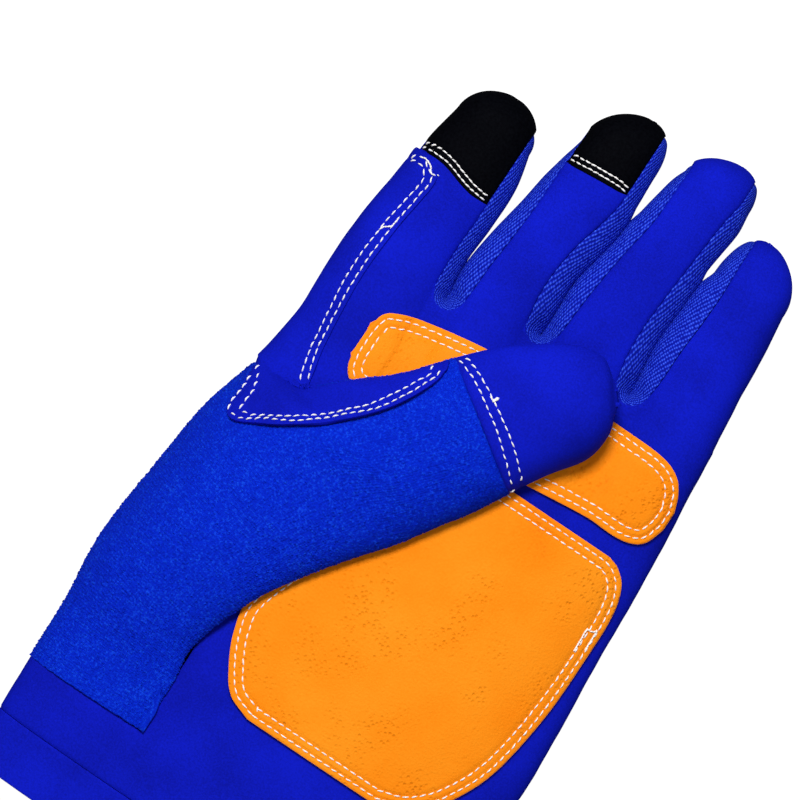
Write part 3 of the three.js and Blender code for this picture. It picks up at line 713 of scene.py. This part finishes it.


# Grained leather, dyed orange: a smooth face with a faint grain, and fields of small pits with painted
# shade in them
def grained_leather():
    material, tree, spot = cloth_material("grained_leather_orange")
    pores = noisy(tree, spot, per(0.7), 4.0)
    cloudy = noisy(tree, spot, per(26), 3.0)
    both = reckon(tree, "MULTIPLY_ADD", pores, 0.4, cloudy)
    cells = add(tree, "TexVoronoi", {"Vector": spot, "Scale": per(1.3)}).outputs["Distance"]
    pit = spanned(tree, cells, 0.1, 0.42, 1.0, 0.0)
    patchy = noisy(tree, spot, per(15), 2.0)
    field = spanned(tree, patchy, 0.45, 0.62)
    pitted = reckon(tree, "MULTIPLY", pit, field)
    # The pits are painted darker: painted shade in the hollows of the grain, over the grain's own tone
    tone = reckon(tree, "MULTIPLY_ADD", pitted, -0.18, both)
    colour = ramp(tree, tone, [(0.3, "#e87006"), (0.98, "#ff981c"), (0.5, "#fe880c"), (0.72, "#ff9014")])
    height = reckon(tree, "MULTIPLY_ADD", pitted, -1.5, pores)
    bump = bumps(tree, height, 0.6, 0.3)
    finish_material(tree, Base_Color=colour, Roughness=0.62, Normal=bump,
                    Specular_IOR_Level=0.05)
    return material


# Conductive touch leather, coated black: almost matt, with a very fine grain
def touch_leather():
    material, tree, spot = cloth_material("touch_leather_black")
    grain = noisy(tree, spot, per(0.8), 4.0)
    colour = ramp(tree, grain, [(0.3, "#010104"), (0.8, "#06070c")])
    bump = bumps(tree, grain, 0.5, 0.15)
    finish_material(tree, Base_Color=colour, Roughness=0.7, Normal=bump, Specular_IOR_Level=0.02)
    return material


# Spun polyester sewing thread, twisted: near-white with a soft gloss
def sewing_thread():
    material, tree, spot = cloth_material("polyester_thread_white")
    twist = noisy(tree, spot, per(0.5), 2.0)
    colour = ramp(tree, twist, [(0.3, "#f4f0ec"), (0.7, "#ffffff")])
    bump = bumps(tree, twist, 0.4, 0.1)
    finish_material(tree, Base_Color=colour, Roughness=0.6, Normal=bump, Specular_IOR_Level=0.3)
    return material


BLUE = microfibre()
KNIT = tricot()
TERRY = terry()
ORANGE = grained_leather()
BLACK = touch_leather()
THREAD = sewing_thread()


# Palm and back panels: the four finger strips side by side, with the crotches between them
FRONT_OPEN = 1.5  # how many half seams a finger's front is kept back at its side seams
STRAIGHT_SHARE = 0.62  # share of a finger's rows that lies below its round end
HOLE_FADE = 35  # length over which the columns swing back above the thumb hole
SEAM_FADE = 20


def hand_columns(finger_cells, crotch_cells):
    columns = []
    for k, cells in enumerate(finger_cells):
        columns += [("finger", k, a) for a in spread(cells)]
        if k < 3:
            columns += [("crotch", k, a) for a in spread(crotch_cells)[1:-1]]
    return columns


def strip_point(k, across, y, front):
    """A point of a finger's front or back, across from its left seam to its right one."""
    f = FINGERS[k]
    half = section(f, y, 0)[0]
    angles = []
    for side in (-1, 1):
        gap = 0 if is_outer(k, side) else HALF_SEAM / half
        angles.append((seam_angle if front else back_angle)(k, y, side) + gap * FRONT_OPEN)
    turn = mix(math.pi - angles[0], angles[1], across)
    p = finger_point(f, y, turn if front else -turn, 0)
    if front:
        p.z += HALF_SEAM
    elif p.z > SEAM:
        p.z -= HALF_SEAM
    return p


def cap_edge(k, across):
    edge = cap_edges[k]
    return edge.y(strip_point(k, across, edge.y(FINGERS[k].tip_x), True).x)


# A point of the round turn between two fingers, from p at t = 0 to q at t = 1
def round_turn(p, q, t, depth):
    turn = math.pi * t
    x = (p.x + q.x) / 2 - (q.x - p.x) / 2 * math.cos(turn)
    return Vector((x, p.y - depth * math.sin(turn), mix(p.z, q.z, t)))


@lru_cache(maxsize=None)
def root_point(kind, k, across, front):
    """Where a column crosses the root line: on a finger, or in the round dip of a crotch."""
    if kind == "finger":
        f = FINGERS[k]
        return strip_point(k, across, mix(f.root_left, f.root_right, across), front)
    p = strip_point(k, 1, FINGERS[k].root_right, front)
    q = strip_point(k + 1, 0, FINGERS[k + 1].root_left, front)
    return round_turn(p, q, across, CROTCH_SEAM + SEAM)


# A row of a finger's round end, t from 0 to 1 towards its tip, where the rows lie closer
def end_row(f, t):
    return mix(f.round, f.tip_y, TIP_SECTION * math.sin(t * math.pi / 2))


def finger_rows(f, across, count, to=None):
    """The y of each row of a finger, from its root to its tip or to a cap's edge."""
    root = mix(f.root_left, f.root_right, across)
    straight = round(count * STRAIGHT_SHARE)
    rows = []
    for k, t in enumerate(spread(count)):
        if to is not None:
            rows.append(mix(root, to, t))
        elif k <= straight:
            rows.append(mix(root, f.round, k / straight))
        else:
            rows.append(end_row(f, (k - straight) / (count - straight)))
    return rows


def hand_panel(front, finger_cells, crotch_cells, low, root, tip_rows, hole=None):
    """A panel with low rows up to the thumb hole's top, root rows from there to the finger roots and
    tip_rows along the fingers. Its first hole columns are left out beside the thumb."""
    columns = hand_columns(finger_cells, crotch_cells)
    root_row = low + root
    rows_of = {}

    def hole_share(share, y):
        still = (root_point(*columns[hole], True).x - ROOT_LEFT) / (ROOT_RIGHT - ROOT_LEFT)
        under = min(y, THUMB_HOLE_TOP)
        width = hand.right(under) - hand.left(under)
        edge = (thumb_hole.x(under) - hand.left(under)) / width
        moved = mix(edge, still, smooth((y - THUMB_HOLE_TOP) / HOLE_FADE))
        if share < still:
            return share * moved / still
        return moved + (share - still) * (1 - moved) / (1 - still)

    def place(i, j):
        kind, k, across = columns[i]
        start = root_point(kind, k, across, front)
        if j >= root_row:
            if kind == "crotch":
                return start.copy()
            f = FINGERS[k]
            if i not in rows_of:
                to = cap_edge(k, across) + CAP_LAP if front and k < len(cap_edges) else None
                rows_of[i] = finger_rows(f, across, tip_rows, to)
            return strip_point(k, across, rows_of[i][j - root_row], front)
        if j <= low:
            y = mix(HEM.panels, THUMB_HOLE_TOP, j / low)
        else:
            y = mix(THUMB_HOLE_TOP, start.y, (j - low) / root)
        share = (start.x - ROOT_LEFT) / (ROOT_RIGHT - ROOT_LEFT)
        if hole:
            share = hole_share(share, y)
        q = clamp(2 * share - 1, -1, 1)
        p = palm_point(q, y, front)
        if front:
            p.z += HALF_SEAM * (1 - smooth((y - THUMB_HOLE_TOP) / SEAM_FADE))
        elif p.z > SEAM:
            p.z -= HALF_SEAM
        return p

    hole_from = round(low * (THUMB_HOLE_LOW - HEM.panels) / (THUMB_HOLE_TOP - HEM.panels))

    def keep(i, j):
        if j >= root_row and "crotch" in (columns[i][0], columns[i + 1][0]):
            return False
        return not (hole and i < hole and hole_from <= j < low)

    return shaped(len(columns) - 1, root_row + tip_rows, place, keep)


bm = hand_panel(True, [35, 28, 28, 34], crotch_cells=8, low=148, root=56, tip_rows=68, hole=20)
settle(bm, True, ROLL.depth, puckers=0.32)
piece("palm_leather", bm, BLUE, ["palm_panel"], WALL.palm, cut=True)

bm = hand_panel(False, [22, 16, 16, 22], crotch_cells=6, low=66, root=28, tip_rows=44)
settle(bm, False, ROLL.depth * 0.8, puckers=0.25)
piece("back_leather", bm, BLUE, ["back_panel"], WALL.back, cut=True)


# Tip caps: each stands proud of its finger, but lies flush along its side seams and at its end
def tip_cap(k):
    f = FINGERS[k]
    cols, rows = 46, 46

    def place(i, j):
        across, t = i / cols, j / rows
        low = cap_edge(k, across)
        start = (f.round - low) / (f.tip_y - low)
        y = mix(low, f.tip_y, t) if t < start else end_row(f, (t - start) / (1 - start))
        p = strip_point(k, across, y, True)
        p.z += CAP_PROUD * min(1, 6 * across * (1 - across)) * (1 - t ** 6)
        return p

    return shaped(cols, rows, place)


# Stitch rows, each a few points seen from above
CAP_ROWS = {
    "index": [
        [(-55.3, 84.5), (-52, 85.2), (-48, 85), (-44.5, 84.2), (-41, 83.1), (-37, 82.1), (-32, 81.6)],
        [(-55.4, 83), (-52, 83.5), (-48, 83.3), (-44.5, 82.5), (-41, 81.4), (-37, 80.5), (-31.8, 80.1)],
    ],
    "middle": [
        [(-19, 104.7), (-12, 105.3), (-4, 105.7), (-0.9, 105.3)],
        [(-19.2, 103.2), (-12, 103.7), (-4, 104.2), (-0.8, 104)],
    ],
}
SADDLE_ROWS = [
    [(-56.4, 78.4), (-54.9, 80.1), (-53.7, 80.4), (-52.3, 80.3), (-51.2, 79.3), (-50.1, 78.7),
     (-48.9, 77.9), (-48, 76.9), (-47.8, 74.1), (-48.3, 71.3), (-48.5, 68.7), (-49, 65), (-49.6, 61.9),
     (-49.8, 58.4), (-50.2, 52), (-50.2, 45), (-50, 38), (-49.3, 31), (-48.6, 25.7), (-48.2, 21.7),
     (-47.4, 18.1), (-46.4, 14.3), (-44.9, 10.8)],
    [(-56.2, 77.8), (-55.4, 78.2), (-54.1, 78.6), (-52.6, 78.4), (-51.4, 78), (-50.5, 76.6),
     (-49.8, 75.2), (-50.1, 71.7), (-50.7, 68), (-51.3, 64.4), (-51.9, 60.5), (-52.2, 56), (-52.6, 50),
     (-52.4, 40), (-51.4, 32), (-50.3, 24.2), (-49.8, 20.5), (-48.9, 16.4), (-48, 12.7), (-46.9, 9.8)],
    [(-61.2, 5.2), (-60.2, 4.8), (-59.4, 3.9), (-59, 1.1), (-59.1, -2), (-59.4, -5.5), (-59, -7),
     (-57.9, -7.8), (-55.9, -8), (-53.7, -7.3), (-49, -4), (-45.7, -2.2), (-41.7, 0.2), (-38, 3.1),
     (-34.4, 6.1), (-31.1, 9.6), (-27.4, 13), (-24.2, 16.6), (-21.7, 20.8), (-19.4, 25), (-17.5, 29.2),
     (-16.2, 32.5), (-16.8, 35)],
    [(-59.6, 7.4), (-58.6, 5.9), (-57.6, 5), (-56.5, 2.4), (-56, 0.7), (-56.2, -3.3), (-55.9, -5.6),
     (-52.9, -5.4), (-49, -3.1), (-45.7, -1), (-41.8, 1.7), (-38.2, 4.3), (-34.5, 7.5), (-30.9, 11.4),
     (-27.5, 15), (-24.7, 19.2), (-22.2, 23.4), (-19.9, 27.9), (-17.9, 31.8), (-18.6, 33.4)],
]
# The seam's start and end: thread sewn over itself, with a loose end, and a bar between the rows
SADDLE_LOOSE = [
    [(-53.2, 80.6), (-52, 80.6), (-50.8, 80.1), (-49.9, 79.5), (-49.3, 78.6), (-48.6, 78.1), (-47.6, 78.2)],
    [(-52.2, 57.1), (-51.4, 58.3), (-50.5, 59.2), (-49.7, 60.1), (-49.3, 62.8)],
]
PALM_LOOSE = [[(-48.2, 78), (-47.5, 78.6), (-46.4, 78.6)]]
TIP_ROWS = [
    [(-12.8, 40.9), (-9.4, 40), (-5, 38.2), (0, 35.5), (5, 32.5), (8, 30.6), (12, 27.8), (16, 24.4),
     (19, 21.5), (21.2, 18.9)],
    [(-14, 39.3), (-11.8, 38.7), (-8, 37.3), (-4, 35.2), (0, 32.7), (5, 29.4), (10, 25.5), (14, 22),
     (17.6, 18.9), (19, 17.4)],
]
TIP_LOOSE = [[(-0.8, 35.6), (-0.2, 35.2), (0.7, 35.1)]]
TIP_KNOT = [[(0.5, 35), (1.2, 36.5)]]


ROW_STEP = 0.1  # from point to point along a row
AIM_POINTS = 3  # before and after a stitch, to find its direction
ABOVE_ALL = 60
# How a stitch narrows and dives at its ends, and the ranges of its slant, length and width
FORM = SimpleNamespace(
    taper=0.25, lift=0.24, dive=1.3, slant=(-0.06, 0.16), long=(0.9, 1.06), wide=(0.9, 1.12))


def add_stitches(bm, surface, rows, thread):
    """Short raised stitches along each row, on the face that looks up, their ends sunk into it."""
    tree = SURFACES[surface]
    for row in rows:
        line = gather(row, ROW_STEP)
        step = round(thread.pitch / ROW_STEP)
        for k in range(min(step, len(line)) // 2, len(line) - 1, step):
            p = line[k]
            ahead = line[min(k + AIM_POINTS, len(line) - 1)] - line[max(k - AIM_POINTS, 0)]
            hit, normal, _, _ = tree.ray_cast(Vector((p[0], p[1], ABOVE_ALL)), Vector((0, 0, -1)))
            if hit is None:
                continue
            if normal.z < 0:
                normal = -normal
            along = Vector((ahead[0], ahead[1], 0))
            along = (along - normal * along.dot(normal)).normalized()
            along.rotate(Matrix.Rotation(random.uniform(*FORM.slant), 3, normal))
            side = normal.cross(along)
            length = thread.length / 2 * random.uniform(*FORM.long)
            half = thread.width / 2 * random.uniform(*FORM.wide)
            made = bmesh.ops.create_uvsphere(bm, u_segments=8, v_segments=7, radius=1)
            for v in made["verts"]:
                x, y, z = v.co
                taper = 1 - FORM.taper * z * z
                lift = FORM.lift * (1 - FORM.dive * z * z)
                v.co = hit + along * (z * length) + side * (y * half * taper) + normal * (
                    x * thread.height * taper + lift)


def sewn(name, *runs):
    """One piece of thread from runs of stitches, each a surface, its rows and its kind of stitch."""
    bm = bmesh.new()
    for surface, rows, thread in runs:
        add_stitches(bm, surface, rows, thread)
    piece(name, bm, THREAD, [])


INSET_SLACK = 0.97


def outline_rows(loop, insets):
    """Closed rows inside an outline, each kept at its distance from the edge."""
    rows = []
    for inset in insets:
        row = []
        for k, p in enumerate(loop):
            before, after = loop[k - 1], loop[(k + 1) % len(loop)]
            d = (after - before).normalized()
            row.append(p + Vector((-d[1], d[0])) * inset)
        kept = [p for p in row if min((p - q).length for q in loop) > inset * INSET_SLACK]
        rows.append([tuple(p) for p in kept + kept[:1]])
    return rows


for k in (0, 1):
    f = FINGERS[k]
    bm = tip_cap(k)
    settle(bm, True, 0.45, 0.15, all_points(CAP_ROWS[f.name]))
    piece(f"{f.name}_cap_leather", bm, BLACK, [f"{f.name}_tip_cap"],
          WALL.cap, cut=True)
    sewn(f"{f.name}_cap_thread", (f"{f.name}_cap_leather", CAP_ROWS[f.name], CAP_STITCH))


# Fourchettes: a knitted strip from one fingertip down to the crotch, round it and up to the next tip
STRIP_GAP = 0.05
STRIP_END = 0.3  # section angle at which a strip ends beside a fingertip
STRIP_SINK = 0.8
# Beside each crotch the two legs lean on each other up to a height, and part over a length
TOUCH = [
    SimpleNamespace(height=60, parting=27, depth=0),
    SimpleNamespace(height=97, parting=6, depth=0.25),
    SimpleNamespace(height=93.5, parting=6, depth=0.25),
]
HOLLOW = SimpleNamespace(length=3.5, sharpness=5)  # the small pit at the bottom of each crotch
SINK_FADE = 0.4
SLIT_SHARPNESS = 1.5


# How much of the space between two fingers a strip leans over to fill, from 0 to 1
def leaning(touch, y, root, band):
    hollow = 1 + HOLLOW.sharpness * (1 - smooth((y - root) / HOLLOW.length))
    return (1 - smooth((y - touch.height) / touch.parting)) * math.sin(math.pi * band) ** hollow


# A point of a strip beside one finger, with band from 0 at the front's seam to 1 at the back's
def leg_point(k, side, y, band):
    f = FINGERS[k]
    gap = STRIP_GAP / section(f, y, 0)[0]
    top = max(seam_angle(k, y, side) - gap, STRIP_END / 2)
    low = max(back_angle(k, y, side) - gap, STRIP_END / 2)
    angle = mix(top, -low, band)
    if side < 0:
        angle = math.copysign(math.pi - abs(angle), angle)
    sink = STRIP_SINK * (1 - smooth((seam_angle(k, y, side) - STRIP_END) / SINK_FADE))
    p = finger_point(f, y, angle, sink)
    other = FINGERS[k + side]
    gap = other.left(y) - f.right(y) if side > 0 else f.left(y) - other.right(y)
    touch = TOUCH[min(k, k + side)]
    lean = leaning(touch, y, f.root_right if side > 0 else f.root_left, band)
    p.x += side * (gap / 2 + touch.depth) * lean
    return p


def fourchette(c):
    bands, leg, turn_cells = 56, 118, 26
    legs = []
    for k, side in ((c.a, 1), (c.b, -1)):
        rows = finger_rows(FINGERS[k], 1 if side > 0 else 0, leg)
        legs.append([y for y in rows if y <= FINGERS[k].round or seam_angle(k, y, side) > STRIP_END])
    legs[0].reverse()
    first = len(legs[0]) - 1
    second = first + turn_cells

    def place(i, j):
        band = j / bands
        if i <= first:
            return leg_point(c.a, 1, legs[0][i], band)
        if i >= second:
            return leg_point(c.b, -1, legs[1][i - second], band)
        p = leg_point(c.a, 1, FINGERS[c.a].root_right, band)
        q = leg_point(c.b, -1, FINGERS[c.b].root_left, band)
        edge = abs(2 * band - 1) ** SLIT_SHARPNESS
        return round_turn(p, q, (i - first) / turn_cells, mix(CROTCH_SLIT, CROTCH_SEAM, edge))

    return shaped(second + len(legs[1]) - 1, bands, place, knit=KNIT_CELL)


for c in CROTCHES:
    name = f"{FINGERS[c.a].name}_{FINGERS[c.b].name}"
    bm = fourchette(c)
    settle(bm, True, 0.12, 0.2, above=FOLD + 3)  # its lower faces look sideways and down
    piece(f"strip_{name}", bm, KNIT, [f"fourchette_{name}"], WALL.strip)


# The thumb
SIDE_TOP = 5  # section up to which the terry's edge is the hand's own side
THUMB_FREE = 7  # section from which the thumb is no longer sewn to the glove's side


def sewn_down(s):
    return smooth(THUMB_FREE - s)


def thumb_spot(s, v):
    """Where a point of the thumb lies, seen from above."""
    return mix(thumb.ux(s), thumb.lx(s), v), mix(thumb.uy(s), thumb.ly(s), v)


# The thumb's arched section, with a softer rise at its upper fold
def crown(v, soft):
    return (1 - abs(2 * v - 1) ** SECTION) ** mix(soft, 0.5, smooth(v))


def thumb_point(s, v, lift=0):
    """The thumb's upper face: s counts its sections, v runs from 0 at the upper fold to 1 at the lower."""
    y = mix(thumb.uy(s), thumb.ly(s), v)
    side = mix(hand.left(thumb.uy(s)), thumb.ux(s), smooth(s - SIDE_TOP))
    x = max(mix(side, thumb.lx(s), v), hand.left(y))
    height = crown(v, thumb.u_soft(s))
    low = mix(thumb.u_rise(s), thumb.l_rise(s), v)
    return Vector((x, y, palm_spot(x, y) + low + (thumb.lift(s) - low) * height + HALF_SEAM + lift))


def underside_point(s, v):
    across = mix(max(0, thumb.hole(s)), 1, v)
    x, y = thumb_spot(s, across)
    height = crown(v, 0.5)
    start = max(SEAM, (thumb.u_rise(s) - HALF_SEAM) * (1 - sewn_down(s)))
    end = max(SEAM, thumb.l_rise(s) - HALF_SEAM)
    tuck = TUCK * (1 - smooth(v / TUCK_SHARE)) * sewn_down(s)
    return Vector((x, y, palm_spot(x, y) + mix(mix(start, end, v), thumb.clear(s), height) - tuck))


def thumb_panel(first, last, rows, cols, point):
    across = round_spread(cols)
    return shaped(cols, rows, lambda i, j: point(mix(first, last, j / rows), across[i]))


# The terry sinks in beside the two patches that are sewn over it
DENT = SimpleNamespace(depth=1.1, width=1.7)
beside_patch = nearness(
    gather([(saddle_lower.x(k), saddle_lower.y(k)) for k in range(1, SADDLE_STEPS + 1)])
    + gather([thumb_spot(THUMB_SEAM - 0.1, v) for v in spread(4)]), True)


def terry_point(s, v):
    p = thumb_point(s, v)
    p.z -= DENT.depth * math.exp(-((beside_patch(p) / DENT.width) ** 2)) * crown(v, 1)
    p += LAP * (1 - smooth(v / LAP_SHARE)) * sewn_down(s)
    return p


TERRY_END = THUMB_SEAM - 0.035
TIP_START = THUMB_SEAM - 0.05
UNDER_START = 2.5

bm = thumb_panel(0, TERRY_END, 130, 60, terry_point)
settle(bm, True, 0.5, 0.3)
piece("thumb_terry", bm, TERRY, ["thumb_back_panel"], WALL.terry)

bm = thumb_panel(TIP_START, THUMB_END, 80, 66, lambda s, v: thumb_point(s, v, TIP_PROUD))
settle(bm, True, 0.6, 0.3, all_points(TIP_ROWS))
piece("thumb_tip_leather", bm, BLUE, ["thumb_tip"], WALL.thumb, cut=True)
sewn("thumb_tip_thread", ("thumb_tip_leather", TIP_ROWS, STITCH),
     ("thumb_tip_leather", TIP_LOOSE, LOOSE), ("thumb_tip_leather", TIP_KNOT, KNOT))

bm = thumb_panel(UNDER_START, THUMB_END, 110, 30, underside_point)
settle(bm, False)
piece("thumb_under_leather", bm, BLUE, ["thumb_underside"], WALL.under)


# Terry loops: each cell of a jittered grid over the thumb is drawn out into one small leaning loop
PILE = SimpleNamespace(jitter=0.3, shortest=0.12, tallest=0.36, lean=0.14, taper=0.5)


def terry_loops():
    rows, cols = 216, 92
    across = round_spread(cols)

    def place(i, j):
        s = (THUMB_SEAM - 0.03) * clamp((j + random.uniform(-PILE.jitter, PILE.jitter)) / rows, 0, 1)
        v = clamp(across[i] + random.uniform(-PILE.jitter, PILE.jitter) / cols, 0.004, 0.996)
        p = terry_point(s, v)
        return p + Vector((0, 0, wrinkle(p, 0.3)))

    bm = shaped(cols, rows, place)
    flip_if(sum(f.normal.z for f in bm.faces) < 0, bm)
    made = bmesh.ops.extrude_discrete_faces(bm, faces=bm.faces)
    for f in made["faces"]:
        middle = f.calc_center_median()
        lean = Vector((random.uniform(-1, 1), random.uniform(-1, 1), random.uniform(-0.4, 0.4)))
        out = f.normal * random.uniform(PILE.shortest, PILE.tallest) + lean * PILE.lean
        for v in f.verts:
            v.co = middle + (v.co - middle) * PILE.taper + out
    return bm


piece("thumb_terry_loops", terry_loops(), TERRY, [])


# Patches
def spot_on_glove(x, y, lift=PATCH_LIFT):
    """The point of a patch above x and y: it follows the glove's section and wraps over its side."""
    if y > root_line(x):
        half, middle, _ = section(FINGERS[0], y, 0)
        q = clamp((x - middle) / (half + PATCH_OUT), -1, 1)
        z = FOLD + (FINGER_RISE + lift) * round_height(q)
        return Vector((middle + (half + PATCH_OUT) * q, y, z + HALF_SEAM))
    half, middle = hand_section(y)
    q = clamp((x - middle) / (half + PATCH_OUT), -1, 1)
    z = FOLD + (palm_point(q, y).z - FOLD) * (1 + lift / hand.rise(y))
    return Vector((middle + (half + PATCH_OUT) * q, y, z + HALF_SEAM))


EASE = 0.75


# From 0 to 1 with closer steps near both ends, where a patch's outline turns most
def eased(t):
    return mix(t, (1 - math.cos(math.pi * t)) / 2, EASE)


def loop_of(edges, first, last, upright):
    """The outline of a patch, anticlockwise, from the table of its two edges."""
    at = [mix(first, last, eased(t)) for t in spread(120)]
    if upright:  # the table runs up the patch, with its left and right edges
        loop = [(edges.right(y), y) for y in at] + [(edges.left(y), y) for y in reversed(at)]
    else:
        loop = [(x, edges.low(x)) for x in at] + [(x, edges.high(x)) for x in reversed(at)]
    return gather([loop[-1], *loop], 0.5)[:-1]


ROW_INSETS = (1.7, 4)
KNUCKLE_ROWS = outline_rows(loop_of(knuckle_edges, *KNUCKLE_ENDS, False), ROW_INSETS)
HEEL_ROWS = outline_rows(loop_of(heel_edges, *HEEL_ENDS, True), ROW_INSETS)


def knuckle_point(i, j, cols, rows):
    x = mix(*KNUCKLE_ENDS, eased(i / cols))
    y = mix(knuckle_edges.low(x), knuckle_edges.high(x), j / rows)
    return spot_on_glove(x, y)


def heel_point(i, j, cols, rows):
    y = mix(*HEEL_ENDS, eased(j / rows))
    x = mix(heel_edges.left(y), heel_edges.right(y), i / cols)
    return spot_on_glove(x, y)


# The heel's seam starts and ends here: both rows are sewn twice, with a bar between them
HEEL_LOOSE = [
    [(58.1, -9.8), (57.9, -6), (57.8, -2.9), (59.2, -2.6), (60.2, -1.9)],
    [(60.6, -7.9), (60.5, -4.8), (60.3, -1.6)],
]
for name, point, cols, rows, thread, loose in (
    ("knuckle", knuckle_point, 150, 46, KNUCKLE_ROWS, []),
    ("heel", heel_point, 118, 140, HEEL_ROWS, HEEL_LOOSE),
):
    bm = shaped(cols, rows, lambda i, j: point(i, j, cols, rows))
    settle(bm, True, 0.25, 0.3, all_points(thread))
    piece(f"{name}_leather", bm, ORANGE, [f"{name}_patch"], WALL.patch, cut=True)
    sewn(f"{name}_thread", (f"{name}_leather", thread, STITCH), (f"{name}_leather", loose, LOOSE))


NEWTON_ROUNDS = 14


def find_on_thumb(x, y, s, v):
    """The section and share of a point of the thumb seen from above, by Newton's method."""
    step = 1e-3
    for _ in range(NEWTON_ROUNDS):
        px, py = thumb_spot(s, v)
        ahead_x, ahead_y = thumb_spot(s + step, v)
        dsx, dsy = (ahead_x - px) / step, (ahead_y - py) / step
        dvx, dvy = thumb.lx(s) - thumb.ux(s), thumb.ly(s) - thumb.uy(s)
        mx, my = x - px, y - py
        det = dsx * dvy - dsy * dvx
        s += clamp((mx * dvy - my * dvx) / det, -0.5, 0.5)
        v = clamp(v + (dsx * my - dsy * mx) / det, 0, 1)
    return s, v


SADDLE_FADE = 12
SADDLE_CROWD = (1.25, 1.3)  # above 1, these crowd each part's rows towards its start


# The saddle patch: down the index finger's side, then along the thumb's upper fold
def saddle():
    cols, finger_part, thumb_part = 24, 110, 110
    across = [1 - math.cos(t * math.pi / 2) for t in spread(cols)]
    over_fold = [math.sin(t * math.pi / 2) for t in spread(cols)]
    f = FINGERS[0]
    guess = {}

    def place(i, j):
        if j <= finger_part:
            y = mix(SADDLE_TOP, SADDLE_TURN, (j / finger_part) ** SADDLE_CROWD[0])
            side = (f.left(y) if y > f.root_left else hand.left(y)) - PATCH_OUT
            return spot_on_glove(mix(side, saddle_inner.x(y), across[i]), y,
                                 mix(PATCH_LIFT, SADDLE_LIFT, smooth((y - SADDLE_TURN) / SADDLE_FADE)))
        step = SADDLE_STEPS * ((j - finger_part) / thumb_part) ** SADDLE_CROWD[1]
        fold = saddle_lower.fold(step)
        x = mix(saddle_lower.x(step), thumb.ux(fold), over_fold[i])
        y = mix(saddle_lower.y(step), thumb.uy(fold), over_fold[i])
        guess[i] = find_on_thumb(x, y, *guess.get(i, (fold, 0.1)))
        return thumb_point(*guess[i], PATCH_LIFT + TERRY_PILE)

    return shaped(cols, finger_part + thumb_part, place)


bm = saddle()
settle(bm, True, 0.25, 0.25, all_points(SADDLE_ROWS))
piece("saddle_leather", bm, BLUE, ["saddle_patch"], WALL.patch, cut=True)
sewn("saddle_thread", ("saddle_leather", SADDLE_ROWS, STITCH),
     ("saddle_leather", SADDLE_LOOSE, LOOSE), ("palm_leather", PALM_LOOSE, LOOSE))


# The hem round the wrist
def cuff():
    around, rows = 240, 18
    top = HEM.panels - SEAM

    def place(i, j):
        turn = 2 * math.pi * (i % around) / around
        y = mix(HEM.cuff, top, j / rows)
        c = math.cos(turn)
        q = math.copysign(abs(c) ** (2 / PALM_FLAT), c)
        return palm_point(q, y, math.sin(turn) >= 0)

    return shaped(around, rows, place, ring=True)


bm = cuff()
centre = Vector((0, mix(HEM.cuff, HEM.panels, 0.5), FOLD))
outward = sum(f.normal.dot(f.calc_center_median() - centre) for f in bm.faces)
flip_if(outward < 0, bm)
piece("cuff_leather", bm, BLUE, ["cuff_band"], WALL.cuff, cut=True)


# Floor, light and camera. The floor looks white but throws little light up, so the sides stay dark.
# The main light stands beyond the photograph's upper edge, because its shadows fall down the page.
def stage_floor():
    bm = bmesh.new()
    bmesh.ops.create_grid(bm, x_segments=1, y_segments=1, size=3)
    material, tree = new_material("floor_paper_white")
    seen = add(tree, "LightPath").outputs["Is Camera Ray"]
    finish_material(tree, Base_Color=(0.1, 0.1, 0.1, 1), Roughness=0.9, Emission_Color=(1, 1, 1, 1),
                    Emission_Strength=seen)
    floor = mesh_object("floor", bm, material)


def soft_light(name, spot, size, power):
    data = bpy.data.lights.new(name, "AREA")
    data.shape = "DISK"
    data.size = size
    data.energy = power
    lamp = placed(name, data)
    lamp.location = spot
    lamp.rotation_mode = "QUATERNION"
    lamp.rotation_quaternion = (-Vector(spot)).to_track_quat("-Z", "Y")


stage_floor()
soft_light("overhead", (-0.36, 0.5, 1.2), 0.4, 16.5)
soft_light("fill", (0.5, -0.1, 1.4), 0.9, 1.1)
world = bpy.data.worlds.new("studio")
world.use_nodes = True
sky = world.node_tree.nodes["Background"].inputs
sky["Color"].default_value = (1, 1, 1, 1)
sky["Strength"].default_value = 0.25
bpy.context.scene.world = world
bpy.context.scene.view_settings.view_transform = "Standard"

FRAME_CENTRE = (-20.9, 21.0)
FRAME_WIDTH = 224
FRAME_PLANE = 10  # height at which the frame has that width
TURN = 34  # degrees from the frame's axes to the photograph's
LENS = 200
camera_data = bpy.data.cameras.new("camera")
camera_data.lens = LENS
camera_data.clip_start = 0.05
camera_data.clip_end = 20
camera = placed("camera", camera_data)
away = FRAME_WIDTH * LENS / camera_data.sensor_width
camera.location = Vector((*FRAME_CENTRE, FRAME_PLANE + away)) * MM
camera.rotation_euler = (0, 0, math.radians(TURN))
bpy.context.scene.camera = camera
